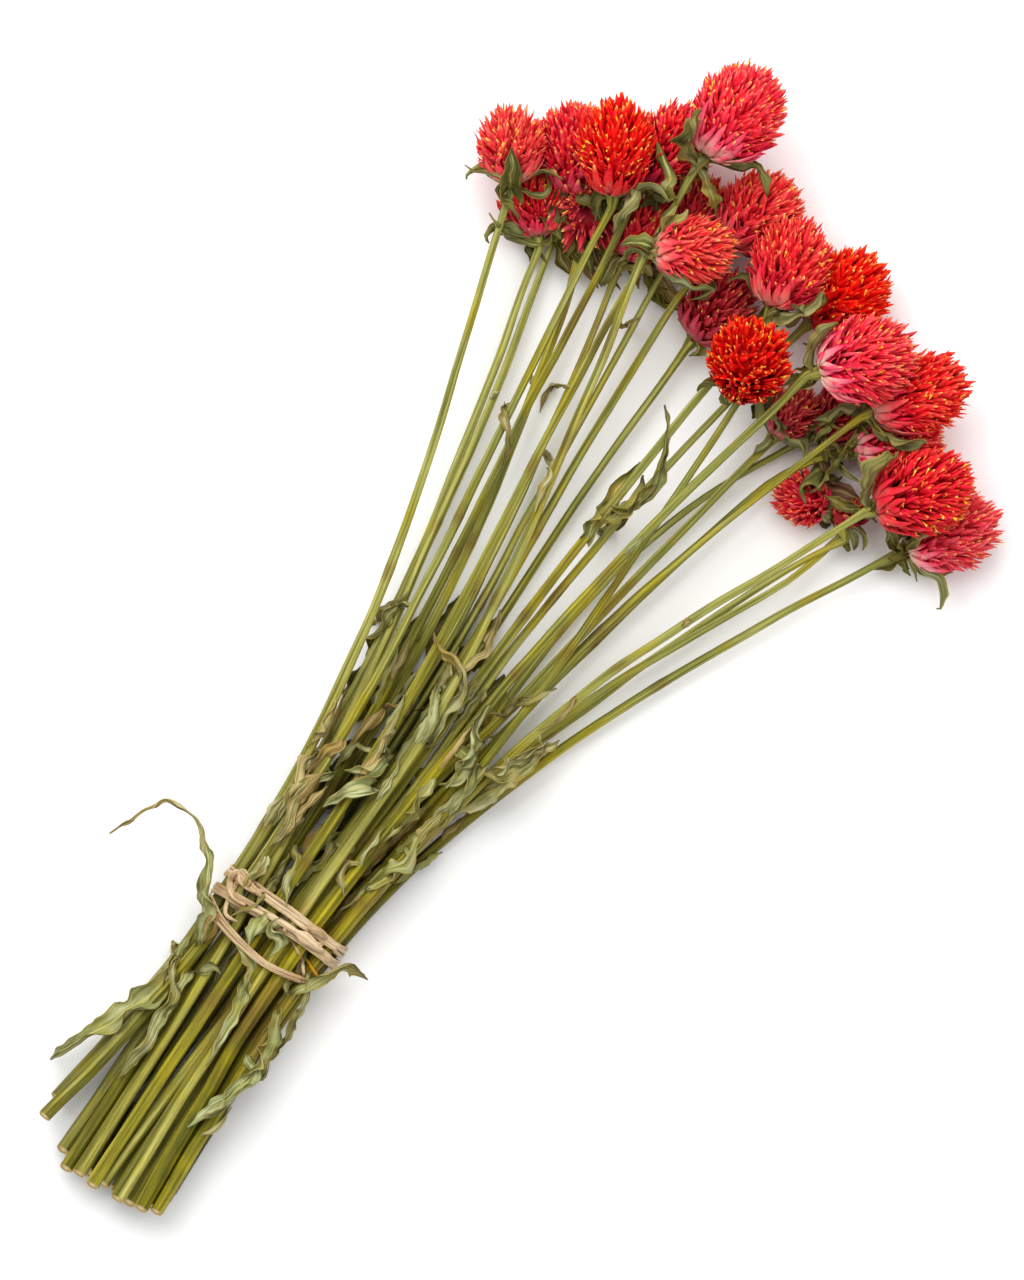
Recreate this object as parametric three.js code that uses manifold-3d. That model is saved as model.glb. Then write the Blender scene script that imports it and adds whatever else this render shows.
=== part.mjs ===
// A bunch of dried globe amaranth, tied with raffia and lying on a surface.
//
// Millimetres, +Z up. +Y runs along the bunch from the cut ends to the flower heads, z = 0 is the surface
// that it lies on, and the origin is on that surface under the middle of the bunch. Each flowering stem is one
// green solid with its leaves and bracts, each flower head is one red solid of pointed bractlets, and the
// raffia is one solid.
import * as THREE from 'three';
import Module from 'manifold-3d';

const wasm = await Module();
wasm.setup();

// Driving dimensions
const WIDEST_HEAD = 29; // across the bractlet tips
const WIDEST_HEAD_IN_PHOTO = 100; // pixels
const BUNCH_LEAN = THREE.MathUtils.degToRad(36.5); // of the bunch from upright in the photograph
const PHOTO_ORIGIN = [488, 678]; // the pixel that all places are measured from
const STEM_RADIUS_AT_CUT = 2.1;
const STEM_RADIUS_AT_NECK = 1.3;
const RECEPTACLE_RADIUS = 2.1; // the swollen top of a stem, under its head
const RECEPTACLE_LENGTH = 3.6;
const STEM_SIDES = 6;
const STATION_STEP = 25; // along +Y between the rings of a stem
const GAP = 0.3; // kept between pieces that touch
const BLADE_THICKNESS = 0.7; // of leaves and bracts

const TIE_PLACE = [275, 921]; // pixels, the middle of the raffia
const TIE_REACH = 14; // the stems run side by side this far to each side of the raffia's middle
const STEM_PITCH = 4.55; // between neighbours in the tie
const LAYER_PITCH = 4.05;
const LAYER_STAGGER = 0.25; // of the pitch, to the right in even layers and to the left in odd ones
const COLUMNS_IN_TIE = 6;
const RAFFIA_THICKNESS = 1.3;
const RAFFIA_WIDTH = 2.8;

// The stems. cut, way and neck are pixels from the cut end to the flower head, and layer and column are the
// stem's place in the tie, counted from the surface and from the left. A head's middle is a pixel, its height
// is over the surface, and its axis points from neck to middle. A tail is on the way from the cut end to the
// tie, and a fork is where a side branch leaves for the head. Bracts are [degrees round the head from its
// upper side, way of growing, length].
const STEMS = {
  a: {
    cut: [56, 1099], tail: [[140, 1032]], cutHeight: 6, layer: 3, column: 0,
    way: [
      [330, 735], [352, 690], [378, 625], [402, 575], [412, 550], [425, 495], [440, 440], [466, 340],
      [497, 240],
    ],
    neck: [510, 183],
    head: { middle: [511, 143], height: 20, width: 22, length: 23, tint: 'red' },
    bracts: [[0, 'hug', 17], [85, 'spread', 15], [-85, 'spread', 12], [170, 'hang', 12]],
  },
  b: {
    cut: [43, 1116], tail: [[128, 1070]], cutHeight: 8, layer: 3, column: 1,
    way: [
      [352, 745], [385, 690], [415, 620], [440, 557], [458, 516], [480, 466], [504, 420], [530, 365],
      [570, 300],
    ],
    neck: [613, 195],
    head: { middle: [616, 146], height: 31, width: 24, length: 30, tint: 'scarlet' },
    bracts: [[60, 'spread', 17], [-150, 'hang', 8]],
  },
  c: {
    cut: [68, 1171], layer: 2, column: 1,
    way: [
      [365, 755], [395, 690], [430, 615], [452, 560], [474, 515], [500, 460], [521, 412], [542, 365],
      [572, 310], [612, 250],
    ],
    neck: [652, 190],
    head: { middle: [682, 152], height: 13, width: 25, length: 28, tint: 'crimson' },
    bracts: [[30, 'spread', 17], [-30, 'hang', 12]],
  },
  d: {
    cut: [93, 1186], layer: 3, column: 2,
    way: [
      [385, 770], [425, 690], [462, 615], [486, 560], [514, 495], [541, 432], [566, 388], [592, 343],
      [614, 308], [641, 265], [668, 215],
    ],
    neck: [703, 159],
    head: { middle: [737, 114], height: 32, width: 28.5, length: 33, tint: 'pink' },
    bracts: [[-35, 'hug', 17], [80, 'spread', 20], [170, 'hang', 16]],
  },
  e: {
    cut: [62, 1151], layer: 1, column: 0,
    way: [
      [340, 735], [370, 680], [405, 610], [430, 560], [452, 510], [482, 440], [505, 385], [522, 340],
      [536, 285],
    ],
    neck: [543, 240],
    head: { middle: [537, 202], height: 10.5, width: 21, length: 22, tint: 'crimson' },
    bracts: [[-60, 'spread', 16], [60, 'hug', 12]],
  },
  f: {
    cut: [84, 1168], layer: 0, column: 0,
    way: [
      [375, 765], [415, 690], [450, 615], [480, 550], [505, 475], [528, 412], [550, 366], [567, 328],
      [578, 300],
    ],
    neck: [590, 268],
    head: { middle: [597, 232], height: 11, width: 21, length: 22, tint: 'dusky' },
    bracts: [[-50, 'spread', 14], [70, 'hug', 11]],
  },
  g: {
    cut: [96, 1178], layer: 1, column: 1,
    way: [[395, 775], [435, 695], [475, 605], [512, 530], [542, 460], [566, 410], [590, 358], [604, 310]],
    neck: [618, 266],
    head: { middle: [642, 226], height: 10.5, width: 20, length: 21, tint: 'crimson' },
    bracts: [[55, 'spread', 11], [-20, 'hang', 11]],
  },
  h: {
    cut: [112, 1192], layer: 2, column: 2,
    way: [
      [405, 785], [450, 700], [492, 615], [532, 535], [553, 487], [577, 450], [602, 413], [640, 364],
      [678, 302],
    ],
    neck: [722, 242],
    head: { middle: [757, 207], height: 14, width: 25, length: 27, tint: 'red' },
    bracts: [[100, 'spread', 15], [-90, 'spread', 13]],
  },
  i: {
    cut: [117, 1199], layer: 3, column: 3,
    way: [
      [415, 785], [455, 715], [478, 675], [495, 640], [506, 608], [521, 568], [540, 515], [553, 478],
      [572, 428], [592, 383], [613, 330],
    ],
    neck: [655, 253],
    head: { middle: [697, 251], height: 35, width: 21, length: 25, tint: 'red' },
    bracts: [[90, 'hug', 20], [-80, 'hug', 14], [-30, 'hang', 9]],
  },
  j: {
    cut: [128, 1203], layer: 2, column: 3,
    way: [
      [420, 800], [476, 663], [510, 617], [557, 564], [589, 530], [644, 469], [672, 439], [703, 398],
      [735, 350],
    ],
    neck: [767, 305],
    head: { middle: [786, 259], height: 29, width: 25, length: 28, tint: 'red' },
    bracts: [[-100, 'spread', 14], [60, 'hug', 16], [170, 'hang', 10]],
  },
  k: {
    cut: [105, 1186], layer: 2, column: 4,
    way: [
      [425, 800], [480, 665], [500, 643], [535, 603], [569, 564], [598, 530], [632, 496], [668, 463],
      [697, 426], [765, 345],
    ],
    neck: [812, 321],
    head: { middle: [848, 291], height: 16, width: 26, length: 28, tint: 'scarlet' },
    bracts: [[-100, 'spread', 18], [100, 'spread', 12]],
  },
  l: {
    cut: [156, 1212], layer: 3, column: 5,
    way: [
      [432, 845], [470, 806], [505, 758], [532, 712], [549, 680], [573, 647], [599, 615], [626, 580],
      [648, 544], [684, 495], [713, 449],
    ],
    neck: [744, 386],
    head: { middle: [748, 360], height: 37, width: 26, length: 27, tint: 'scarlet' },
    bracts: [[-70, 'spread', 13], [110, 'spread', 13]],
  },
  m: {
    cut: [141, 1209], layer: 3, column: 4,
    way: [
      [425, 805], [462, 732], [486, 690], [510, 661], [549, 623], [581, 590], [608, 560], [652, 516],
      [687, 481], [723, 447], [780, 402],
    ],
    neck: [818, 373],
    head: { middle: [868, 360], height: 37, width: 27, length: 30, tint: 'pink' },
    bracts: [[-60, 'hug', 16], [160, 'hang', 12]],
  },
  n: {
    cut: [148, 1205], layer: 2, column: 5,
    way: [
      [450, 800], [490, 740], [532, 690], [560, 660], [587, 631], [608, 603], [640, 570], [688, 530],
      [737, 499], [780, 475],
    ],
    neck: [868, 415],
    head: { middle: [922, 394], height: 24, width: 25, length: 31, tint: 'red' },
    bracts: [[80, 'hug', 16], [-120, 'hang', 17]],
  },
  o: {
    cut: [135, 1200], layer: 1, column: 4,
    way: [
      [450, 815], [500, 750], [546, 698], [580, 650], [604, 613], [620, 594], [668, 558], [727, 522],
      [780, 491],
    ],
    neck: [853, 452],
    head: { middle: [903, 444], height: 12.5, width: 24, length: 28, tint: 'pink' },
    bracts: [[70, 'spread', 14], [-50, 'spread', 12]],
  },
  p: {
    cut: [163, 1198], layer: 1, column: 5,
    way: [
      [450, 815], [500, 740], [544, 684], [557, 675], [618, 639], [678, 617], [727, 598], [780, 568],
      [838, 530],
    ],
    neck: [874, 511],
    head: { middle: [926, 493], height: 28, width: 27, length: 31, tint: 'scarlet' },
    bracts: [[-60, 'hug', 18], [140, 'spread', 16]],
  },
  q: {
    cut: [168, 1192], layer: 0, column: 5,
    way: [[380, 872], [440, 822], [480, 790], [522, 757], [582, 717], [660, 671], [740, 629], [820, 590]],
    neck: [905, 549],
    head: { middle: [953, 530], height: 13, width: 25, length: 30, tint: 'red' },
    bracts: [[-90, 'spread', 15], [90, 'spread', 18], [170, 'hang', 12]],
  },
  r: {
    cut: [145, 1188], layer: 1, column: 3,
    way: [
      [450, 812], [495, 752], [530, 718], [576, 686], [610, 661], [668, 631], [727, 603], [780, 572],
      [838, 533],
    ],
    neck: [862, 544],
    fork: [836, 532],
    head: { neck: [806, 496], middle: [785, 485], height: 9, width: 18, length: 18, tint: 'pink' },
    bracts: [[0, 'hug', 10], [80, 'spread', 10]],
  },
  s: {
    cut: [122, 1196], layer: 1, column: 2,
    way: [
      [440, 810], [492, 742], [532, 692], [572, 645], [590, 623], [624, 588], [660, 548], [697, 508],
      [737, 469],
    ],
    neck: [780, 438],
    head: { middle: [799, 415], height: 9, width: 16, length: 18, tint: 'dusky' },
    bracts: [[60, 'spread', 12], [-80, 'spread', 14]],
  },
  t: {
    cut: [90, 1176], layer: 0, column: 1,
    way: [[410, 790], [458, 710], [505, 615], [538, 530], [569, 491], [608, 455], [648, 414], [668, 380]],
    neck: [690, 335],
    head: { middle: [716, 302], height: 11.5, width: 23, length: 25, tint: 'dusky' },
    bracts: [[-105, 'spread', 12], [80, 'spread', 12]],
  },
  u: {
    cut: [150, 1196], layer: 0, column: 3,
    way: [
      [440, 800], [475, 735], [512, 672], [552, 605], [592, 550], [622, 515], [662, 480], [702, 450],
      [750, 430],
    ],
    neck: [812, 428],
    head: { middle: [840, 408], height: 10, width: 19, length: 21, tint: 'dusky' },
    bracts: [[30, 'spread', 11]],
  },
  v: {
    cut: [76, 1172], layer: 2, column: 0,
    way: [
      [345, 745], [372, 690], [398, 620], [416, 557], [434, 516], [457, 466], [482, 408], [511, 350],
      [545, 270],
    ],
    neck: [575, 200],
    head: { middle: [580, 152], height: 17, width: 25, length: 30, tint: 'pink' },
    bracts: [[50, 'hug', 12]],
  },
  w: {
    cut: [72, 1160], layer: 0, column: 2,
    way: [[400, 775], [440, 695], [480, 615], [515, 540], [545, 478], [580, 420], [612, 366], [650, 300]],
    neck: [684, 250],
    head: { middle: [706, 214], height: 10.5, width: 21, length: 23, tint: 'dusky' },
    bracts: [[80, 'spread', 12]],
  },
  x: {
    cut: [130, 1184], layer: 0, column: 4,
    way: [
      [455, 822], [500, 768], [544, 732], [580, 714], [612, 690], [668, 643], [727, 611], [780, 578],
      [818, 548],
    ],
    neck: [842, 528],
    head: { middle: [852, 494], height: 9.5, width: 18, length: 20, tint: 'dusky' },
    bracts: [[60, 'spread', 10]],
  },
};

// Leaves that lie on the bunch or beside it: the stem that each grows from, pixels along its middle from the
// root to the tip, its widths there, and the height of a tip that nothing lies under.
const LEAVES = [
  {
    stem: 'b', tip: 6, widths: [3, 5, 5.5, 4.6, 3, 2.8, 1.8, 1.6, 1.2],
    way: [
      [197, 945], [201, 925], [207, 900], [209, 878], [207, 853], [202, 830], [186, 808], [160, 801],
      [109, 834],
    ],
  },
  {
    stem: 'b', tip: 3, widths: [2.4, 6, 7, 4.4, 2.6],
    way: [[176, 968], [155, 990], [125, 1013], [93, 1036], [50, 1060]],
  },
  {
    stem: 'v', tip: 9, widths: [2, 3.4, 4, 4.6, 1.5],
    way: [[194, 967], [180, 985], [165, 1008], [147, 1040], [118, 1078]],
  },
  {
    stem: 'i', tip: 14, widths: [3, 5, 3.4, 3, 1.4],
    way: [[243, 983], [241, 998], [236, 1012], [222, 1035], [206, 1065]],
  },
  {
    stem: 'l', tip: 8, widths: [2, 3, 2.6, 3.6, 1.5],
    way: [[292, 995], [314, 983], [336, 970], [350, 967], [367, 979]],
  },
  {
    stem: 'l', tip: 4, widths: [2, 3.4, 4.4, 4.4, 1.4],
    way: [[280, 1012], [272, 1038], [256, 1066], [228, 1098], [195, 1122]],
  },
  {
    stem: 'i', tip: 20, widths: [2, 3.6, 3.8, 3, 3.2, 2.2, 1],
    way: [[428, 752], [443, 720], [460, 698], [466, 678], [458, 660], [440, 645], [433, 633]],
  },
  { stem: 'd', tip: 20, widths: [2, 3.4, 3, 1], way: [[396, 750], [380, 764], [362, 770], [345, 771]] },
  {
    stem: 'b', tip: 20, widths: [2, 2.8, 2.6, 2.6, 1.6],
    way: [[336, 770], [318, 779], [298, 785], [284, 802], [276, 826]],
  },
  { stem: 'd', tip: 20, widths: [3, 5, 3.6, 1.2], way: [[376, 786], [360, 788], [343, 792], [322, 806]] },
  { stem: 'm', tip: 20, widths: [2, 4.4, 3.4, 1.2], way: [[455, 745], [470, 762], [458, 778], [440, 786]] },
  { stem: 'l', tip: 12, widths: [2.4, 5, 4, 1], way: [[490, 780], [510, 772], [532, 758], [560, 742]] },
  {
    stem: 'j', tip: 20, widths: [2.4, 5, 6, 4.6, 1],
    way: [[588, 541], [594, 521], [607, 503], [622, 484], [640, 462]],
  },
  {
    stem: 'j', tip: 20, widths: [1.8, 3, 4, 3.2, 2, 1],
    way: [[614, 509], [636, 504], [652, 492], [660, 465], [667, 432], [665, 405]],
  },
  { stem: 'l', tip: 10, widths: [2, 3.6, 3.2, 1], way: [[362, 888], [382, 882], [400, 870], [414, 850]] },
];

const cosLean = Math.cos(BUNCH_LEAN);
const sinLean = Math.sin(BUNCH_LEAN);
const MM_PER_PIXEL = WIDEST_HEAD / WIDEST_HEAD_IN_PHOTO;

// The place in plan, [x, y], of a pixel of the photograph, which looks straight down.
function place([column, row]) {
  const right = (column - PHOTO_ORIGIN[0]) * MM_PER_PIXEL;
  const up = (PHOTO_ORIGIN[1] - row) * MM_PER_PIXEL;
  return [right * cosLean - up * sinLean, right * sinLean + up * cosLean];
}

const [TIE_X, TIE_Y] = place(TIE_PLACE);

// A value read between the points of a list of [at, value], with straight lines between them.
function between(points, at) {
  if (at <= points[0][0]) return points[0][1];
  for (let i = 1; i < points.length; i++) {
    const [a, va] = points[i - 1];
    const [b, vb] = points[i];
    if (at <= b) return va + ((vb - va) * (at - a)) / (b - a);
  }
  return points[points.length - 1][1];
}

// A head's axis runs from its neck through its middle. It tilts upwards where the neck looks nearer than half
// the head's length.
const LEAST_TILT = 0.12;
const NECK_DEPTH = 2; // from a head's base down to the end of its stem's tube

function aimHead({ head, neck }) {
  const [neckX, neckY] = place(head.neck ?? neck);
  const [x, y] = place(head.middle);
  const half = head.length / 2;
  const reach = Math.hypot(x - neckX, y - neckY);
  const rise = Math.sqrt(Math.max(half * half - reach * reach, (LEAST_TILT * half) ** 2));
  head.axis = new THREE.Vector3(x - neckX, y - neckY, rise).normalize();
  head.centre = new THREE.Vector3(x, y, head.height);
  head.wanted = head.centre.clone();
  head.radius = head.width / 2;
}

function basePoint(head, depth = 0) {
  return head.centre.clone().addScaledVector(head.axis, -head.length / 2 - depth);
}

// The route of a stem has nodes at its cut end, at shared stations and at its other end. A node keeps its y
// and moves in x and z.
const LOWEST_IN_TIE = RAFFIA_THICKNESS + GAP + STEM_RADIUS_AT_CUT;
const SHORTEST_STEP = STATION_STEP * 0.4; // between the node at an end and the next

function makeNodes(stem) {
  const [cutX, cutY] = place(stem.cut);
  const stagger = stem.layer % 2 === 0 ? LAYER_STAGGER : -LAYER_STAGGER;
  const tieX = TIE_X + (stem.column + stagger - (COLUMNS_IN_TIE - 1) / 2) * STEM_PITCH;
  const tieZ = LOWEST_IN_TIE + stem.layer * LAYER_PITCH;
  const endsInHead = stem.head && !stem.fork;
  const end = endsInHead ? basePoint(stem.head, NECK_DEPTH) : null;
  const [endX, endY] = end ? [end.x, end.y] : place(stem.neck);
  const endZ = end ? end.z : tieZ;
  const route = stem.way.map(place).map(([x, y]) => [y, x]);
  const tail = (stem.tail ?? []).map(place).map(([x, y]) => [y, x]);
  const across = [
    [cutY, cutX], ...tail, [TIE_Y - TIE_REACH, tieX], [TIE_Y + TIE_REACH, tieX], ...route, [endY, endX],
  ];
  const lift = [
    [cutY, stem.cutHeight ?? STEM_RADIUS_AT_CUT + stem.layer * LAYER_PITCH], [TIE_Y - TIE_REACH, tieZ],
    [TIE_Y + TIE_REACH, tieZ], [endY, endZ],
  ];
  const stations = [cutY];
  const first = Math.ceil((cutY + SHORTEST_STEP) / STATION_STEP) * STATION_STEP;
  for (let y = first; y < endY - SHORTEST_STEP; y += STATION_STEP) stations.push(y);
  stations.push(endY);
  return stations.map((y) => {
    const along = (y - cutY) / (endY - cutY);
    const x = between(across, y);
    const z = between(lift, y);
    const radius = THREE.MathUtils.lerp(STEM_RADIUS_AT_CUT, STEM_RADIUS_AT_NECK, along);
    return { x, y, z, wantedX: x, wantedZ: z, radius };
  });
}

const names = Object.keys(STEMS);
for (const stem of Object.values(STEMS)) {
  aimHead(stem);
  stem.nodes = makeNodes(stem);
}

// Where a stem is at y along the bunch: the nodes on both sides, the share of the second, the place, and the
// slopes. Null past the ends.
function at(nodes, y) {
  const last = nodes.length - 1;
  if (y < nodes[0].y || y > nodes[last].y) return null;
  let i = 0;
  while (i < last - 1 && nodes[i + 1].y < y) i++;
  const a = nodes[i];
  const b = nodes[i + 1];
  const step = b.y - a.y;
  const share = (y - a.y) / step;
  return {
    a, b, share, y,
    x: THREE.MathUtils.lerp(a.x, b.x, share),
    z: THREE.MathUtils.lerp(a.z, b.z, share),
    radius: THREE.MathUtils.lerp(a.radius, b.radius, share),
    slopeX: (b.x - a.x) / step,
    slopeZ: (b.z - a.z) / step,
  };
}

// Moves the nodes on both sides of a place so that the place itself moves by (x, z).
function push(spot, x, z) {
  const a = 1 - spot.share;
  const b = spot.share;
  const whole = a * a + b * b;
  spot.a.x += (x * a) / whole;
  spot.a.z += (z * a) / whole;
  spot.b.x += (x * b) / whole;
  spot.b.z += (z * b) / whole;
}

const CONTACT_STEP = 4;
const TINY = 1e-6;
const firstPlane = Math.min(...names.map((name) => STEMS[name].nodes[0].y));
const lastPlane = Math.max(...names.map((name) => STEMS[name].nodes.at(-1).y));
const PLANES = [];
for (let y = firstPlane; y < lastPlane; y += CONTACT_STEP) PLANES.push(y);

// Pushes apart the stems that run into each other.
const FAR_ENOUGH = 1.3; // times the distance needed, where slanting stems are clear of each other as well

function partStems(strength) {
  for (const y of PLANES) {
    const spots = names.map((name) => at(STEMS[name].nodes, y)).filter(Boolean);
    for (let i = 0; i < spots.length; i++) {
      for (let j = i + 1; j < spots.length; j++) {
        const p = spots[i];
        const q = spots[j];
        const dx = q.x - p.x;
        const dz = q.z - p.z;
        const flat = Math.hypot(dx, dz);
        const need = p.radius + q.radius + GAP;
        if (flat > need * FAR_ENOUGH) continue;
        const mx = (p.slopeX + q.slopeX) / 2;
        const mz = (p.slopeZ + q.slopeZ) / 2;
        const along = (dx * mx + dz * mz) ** 2 / (1 + mx * mx + mz * mz);
        const lack = need - Math.sqrt(Math.max(flat * flat - along, TINY));
        if (lack <= 0) continue;
        const ux = flat > TINY ? dx / flat : 0;
        const uz = flat > TINY ? dz / flat : 1;
        const half = lack * strength * 0.5;
        push(p, -ux * half, -uz * half);
        push(q, ux * half, uz * half);
      }
    }
  }
}

// Pushes a head, or the swollen top of its stem, and another stem apart.
const STEM_YIELDS = 0.7;
const HEAD_YIELDS = 0.15;

function partBallAndStem(head, centre, radius, nodes, strength) {
  for (let y = centre.y - radius; y <= centre.y + radius; y += CONTACT_STEP / 2) {
    const spot = at(nodes, y);
    if (!spot) continue;
    const dx = spot.x - centre.x;
    const dz = spot.z - centre.z;
    const lack = radius + spot.radius + GAP - Math.hypot(dx, y - centre.y, dz);
    if (lack <= 0) continue;
    const flat = Math.max(Math.hypot(dx, dz), 0.1);
    const share = (lack * strength) / flat;
    push(spot, dx * share * STEM_YIELDS, dz * share * STEM_YIELDS);
    head.centre.x -= dx * share * HEAD_YIELDS;
    head.centre.z -= dz * share * HEAD_YIELDS;
  }
}

const HEAD_SQUEEZE = 0.84; // how near two heads may press, as a share of their radii
const STEM_PRESS = 0.88; // how near a stem may press to a head, as a share of its radius

function partHeads(strength) {
  for (const one of names) {
    const { head } = STEMS[one];
    for (const other of names) {
      if (other === one) continue;
      const { head: second, nodes } = STEMS[other];
      const apart = second.centre.clone().sub(head.centre);
      const lack = (head.radius + second.radius) * HEAD_SQUEEZE - apart.length();
      if (one < other && lack > 0) {
        const share = (lack * strength * 0.5) / Math.max(Math.hypot(apart.x, apart.z), 1);
        head.centre.x -= apart.x * share;
        head.centre.z -= apart.z * share;
        second.centre.x += apart.x * share;
        second.centre.z += apart.z * share;
      }
      partBallAndStem(head, head.centre, head.radius * STEM_PRESS, nodes, strength);
      partBallAndStem(head, basePoint(head, NECK_DEPTH), RECEPTACLE_RADIUS + GAP, nodes, strength);
    }
  }
}

// Each stem ends at its own head's neck, and both give way. A head on a fork doesn't hold its stem.
function joinNecks() {
  for (const { head, nodes, fork } of Object.values(STEMS)) {
    if (fork) continue;
    const end = nodes.at(-1);
    const neck = basePoint(head, NECK_DEPTH);
    const dx = (neck.x - end.x) / 2;
    const dz = (neck.z - end.z) / 2;
    end.x += dx;
    end.z += dz;
    head.centre.x -= dx;
    head.centre.z -= dz;
  }
}

const LOWEST_HEAD = 0.86; // of its radius, from a head's middle down to the surface
const LOWEST_STEM = 1.05; // of its radius

function keepOffSurface() {
  for (const { head, nodes } of Object.values(STEMS)) {
    for (const node of nodes) {
      const inTie = Math.abs(node.y - TIE_Y) < TIE_REACH + STATION_STEP;
      node.z = Math.max(node.z, inTie ? LOWEST_IN_TIE : node.radius * LOWEST_STEM);
    }
    head.centre.z = Math.max(head.centre.z, head.radius * LOWEST_HEAD);
    const neck = basePoint(head, NECK_DEPTH / 2);
    head.centre.z += Math.max(RECEPTACLE_RADIUS * LOWEST_STEM - neck.z, 0);
  }
}

// Pulls the stems and heads to the places wanted, and straightens the stems. The photograph gives no heights,
// so heights are pulled less and straightened more.
const HEIGHT_PULL = 0.4;
const SIDEWAYS_SMOOTHING = 0.3;

function pullAndSmooth(pull, smooth) {
  for (const { head, nodes } of Object.values(STEMS)) {
    for (const node of nodes) {
      node.x += (node.wantedX - node.x) * pull;
      node.z += (node.wantedZ - node.z) * pull * HEIGHT_PULL;
    }
    for (let i = 1; i < nodes.length - 1; i++) {
      const [a, b, c] = [nodes[i - 1], nodes[i], nodes[i + 1]];
      const share = (b.y - a.y) / (c.y - a.y);
      b.x += (THREE.MathUtils.lerp(a.x, c.x, share) - b.x) * smooth * SIDEWAYS_SMOOTHING;
      b.z += (THREE.MathUtils.lerp(a.z, c.z, share) - b.z) * smooth;
    }
    head.centre.x += (head.wanted.x - head.centre.x) * pull;
    head.centre.z += (head.wanted.z - head.centre.z) * pull;
  }
}

const SETTLING_ROUNDS = 500;
const FIRST_PULL = 0.06;
const FIRST_SMOOTHING = 0.35;
const PARTING = 0.5; // of what is lacking, made good in each round

for (let round = 0; round < SETTLING_ROUNDS; round++) {
  const left = 1 - round / SETTLING_ROUNDS;
  pullAndSmooth(FIRST_PULL * left * left, FIRST_SMOOTHING * left);
  partStems(PARTING);
  partHeads(PARTING);
  joinNecks();
  keepOffSurface();
}

// Solids. Rings run counterclockwise round the way that a loft goes.
function toSolid(vertices, faces) {
  return new wasm.Manifold(new wasm.Mesh({
    numProp: 3,
    vertProperties: new Float32Array(vertices.flatMap((vertex) => vertex.toArray())),
    triVerts: new Uint32Array(faces.flat()),
  }));
}

function loft(rings, mirroredSides = []) {
  const sides = rings[0].length;
  const faces = [];
  for (let i = 0; i + 1 < rings.length; i++) {
    for (let side = 0; side < sides; side++) {
      const a = i * sides + side;
      const b = i * sides + ((side + 1) % sides);
      const c = a + sides;
      const d = b + sides;
      if (mirroredSides.includes(side)) faces.push([a, b, c], [b, d, c]);
      else faces.push([a, b, d], [a, d, c]);
    }
  }
  const last = (rings.length - 1) * sides;
  for (let side = 1; side + 1 < sides; side++) {
    faces.push([0, side + 1, side], [last, last + side, last + side + 1]);
  }
  return toSolid(rings.flat(), faces);
}

function ringPoint(centre, upper, right, radius, side) {
  const angle = (side * 2 * Math.PI) / STEM_SIDES;
  const point = centre.clone().addScaledVector(upper, radius * Math.cos(angle));
  return point.addScaledVector(right, radius * Math.sin(angle));
}

const UP = new THREE.Vector3(0, 0, 1);
const RIGHT = new THREE.Vector3(1, 0, 0);
const ringSides = [...Array(STEM_SIDES).keys()];

// The directions square to a head's axis: its upper side, and the side to the right of that.
function headFrame(head) {
  const upper = UP.clone().addScaledVector(head.axis, -head.axis.z).normalize();
  const right = new THREE.Vector3().crossVectors(head.axis, upper);
  return { upper, right };
}

// The swollen top of a stem, which stands square to the head that it carries.
function swellingRings(head) {
  const { upper, right } = headFrame(head);
  return [[RECEPTACLE_LENGTH, STEM_RADIUS_AT_NECK], [GAP, RECEPTACLE_RADIUS]].map(([depth, radius]) =>
    ringSides.map((side) => ringPoint(basePoint(head, depth), upper, right, radius, side)));
}

// A stem's rings stand in planes of constant y, stretched the way that the stem leans there.
function stemTube({ head, nodes, fork }) {
  const rings = nodes.map((node, i) => {
    const before = nodes[Math.max(i - 1, 0)];
    const after = nodes[Math.min(i + 1, nodes.length - 1)];
    const step = after.y - before.y;
    const lean = new THREE.Vector3((after.x - before.x) / step, 0, (after.z - before.z) / step);
    const stretch = Math.hypot(1, lean.length()) - 1;
    lean.normalize();
    const centre = new THREE.Vector3(node.x, node.y, node.z);
    return ringSides.map((side) => {
      const point = ringPoint(centre, UP, RIGHT, node.radius, side);
      return point.addScaledVector(lean, point.clone().sub(centre).dot(lean) * stretch);
    });
  });
  return loft(fork ? rings : [...rings.slice(0, -1), ...swellingRings(head)]);
}

function tangents(spine) {
  return spine.map((point, i) => {
    const before = spine[Math.max(i - 1, 0)];
    const after = spine[Math.min(i + 1, spine.length - 1)];
    return after.clone().sub(before).normalize();
  });
}

// A leaf or bract is a strip of even thickness along its spine, with its widths across the given directions.
// grow makes it larger all round, for the dent that it presses into a flower head.
function blade({ spine, across, widths }, grow = 0) {
  const along = tangents(spine);
  const half = BLADE_THICKNESS / 2 + grow;
  const last = spine.length - 1;
  const rings = spine.map((point, i) => {
    const side = across[i].clone().addScaledVector(along[i], -across[i].dot(along[i])).normalize();
    const up = new THREE.Vector3().crossVectors(along[i], side);
    const middle = point.clone();
    if (i === 0) middle.addScaledVector(along[i], -grow);
    if (i === last) middle.addScaledVector(along[i], grow);
    const reach = widths[i] / 2 + grow;
    return [[1, 1], [-1, 1], [-1, -1], [1, -1]].map(([across, over]) =>
      middle.clone().addScaledVector(side, across * reach).addScaledVector(up, over * half));
  });
  return loft(rings, [2]);
}

// From a head's middle out to its bractlet tips, at an angle from its axis.
function headReach(head, fromAxis) {
  return 1 / Math.hypot(Math.sin(fromAxis) / head.radius, Math.cos(fromAxis) / (head.length / 2));
}

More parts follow.
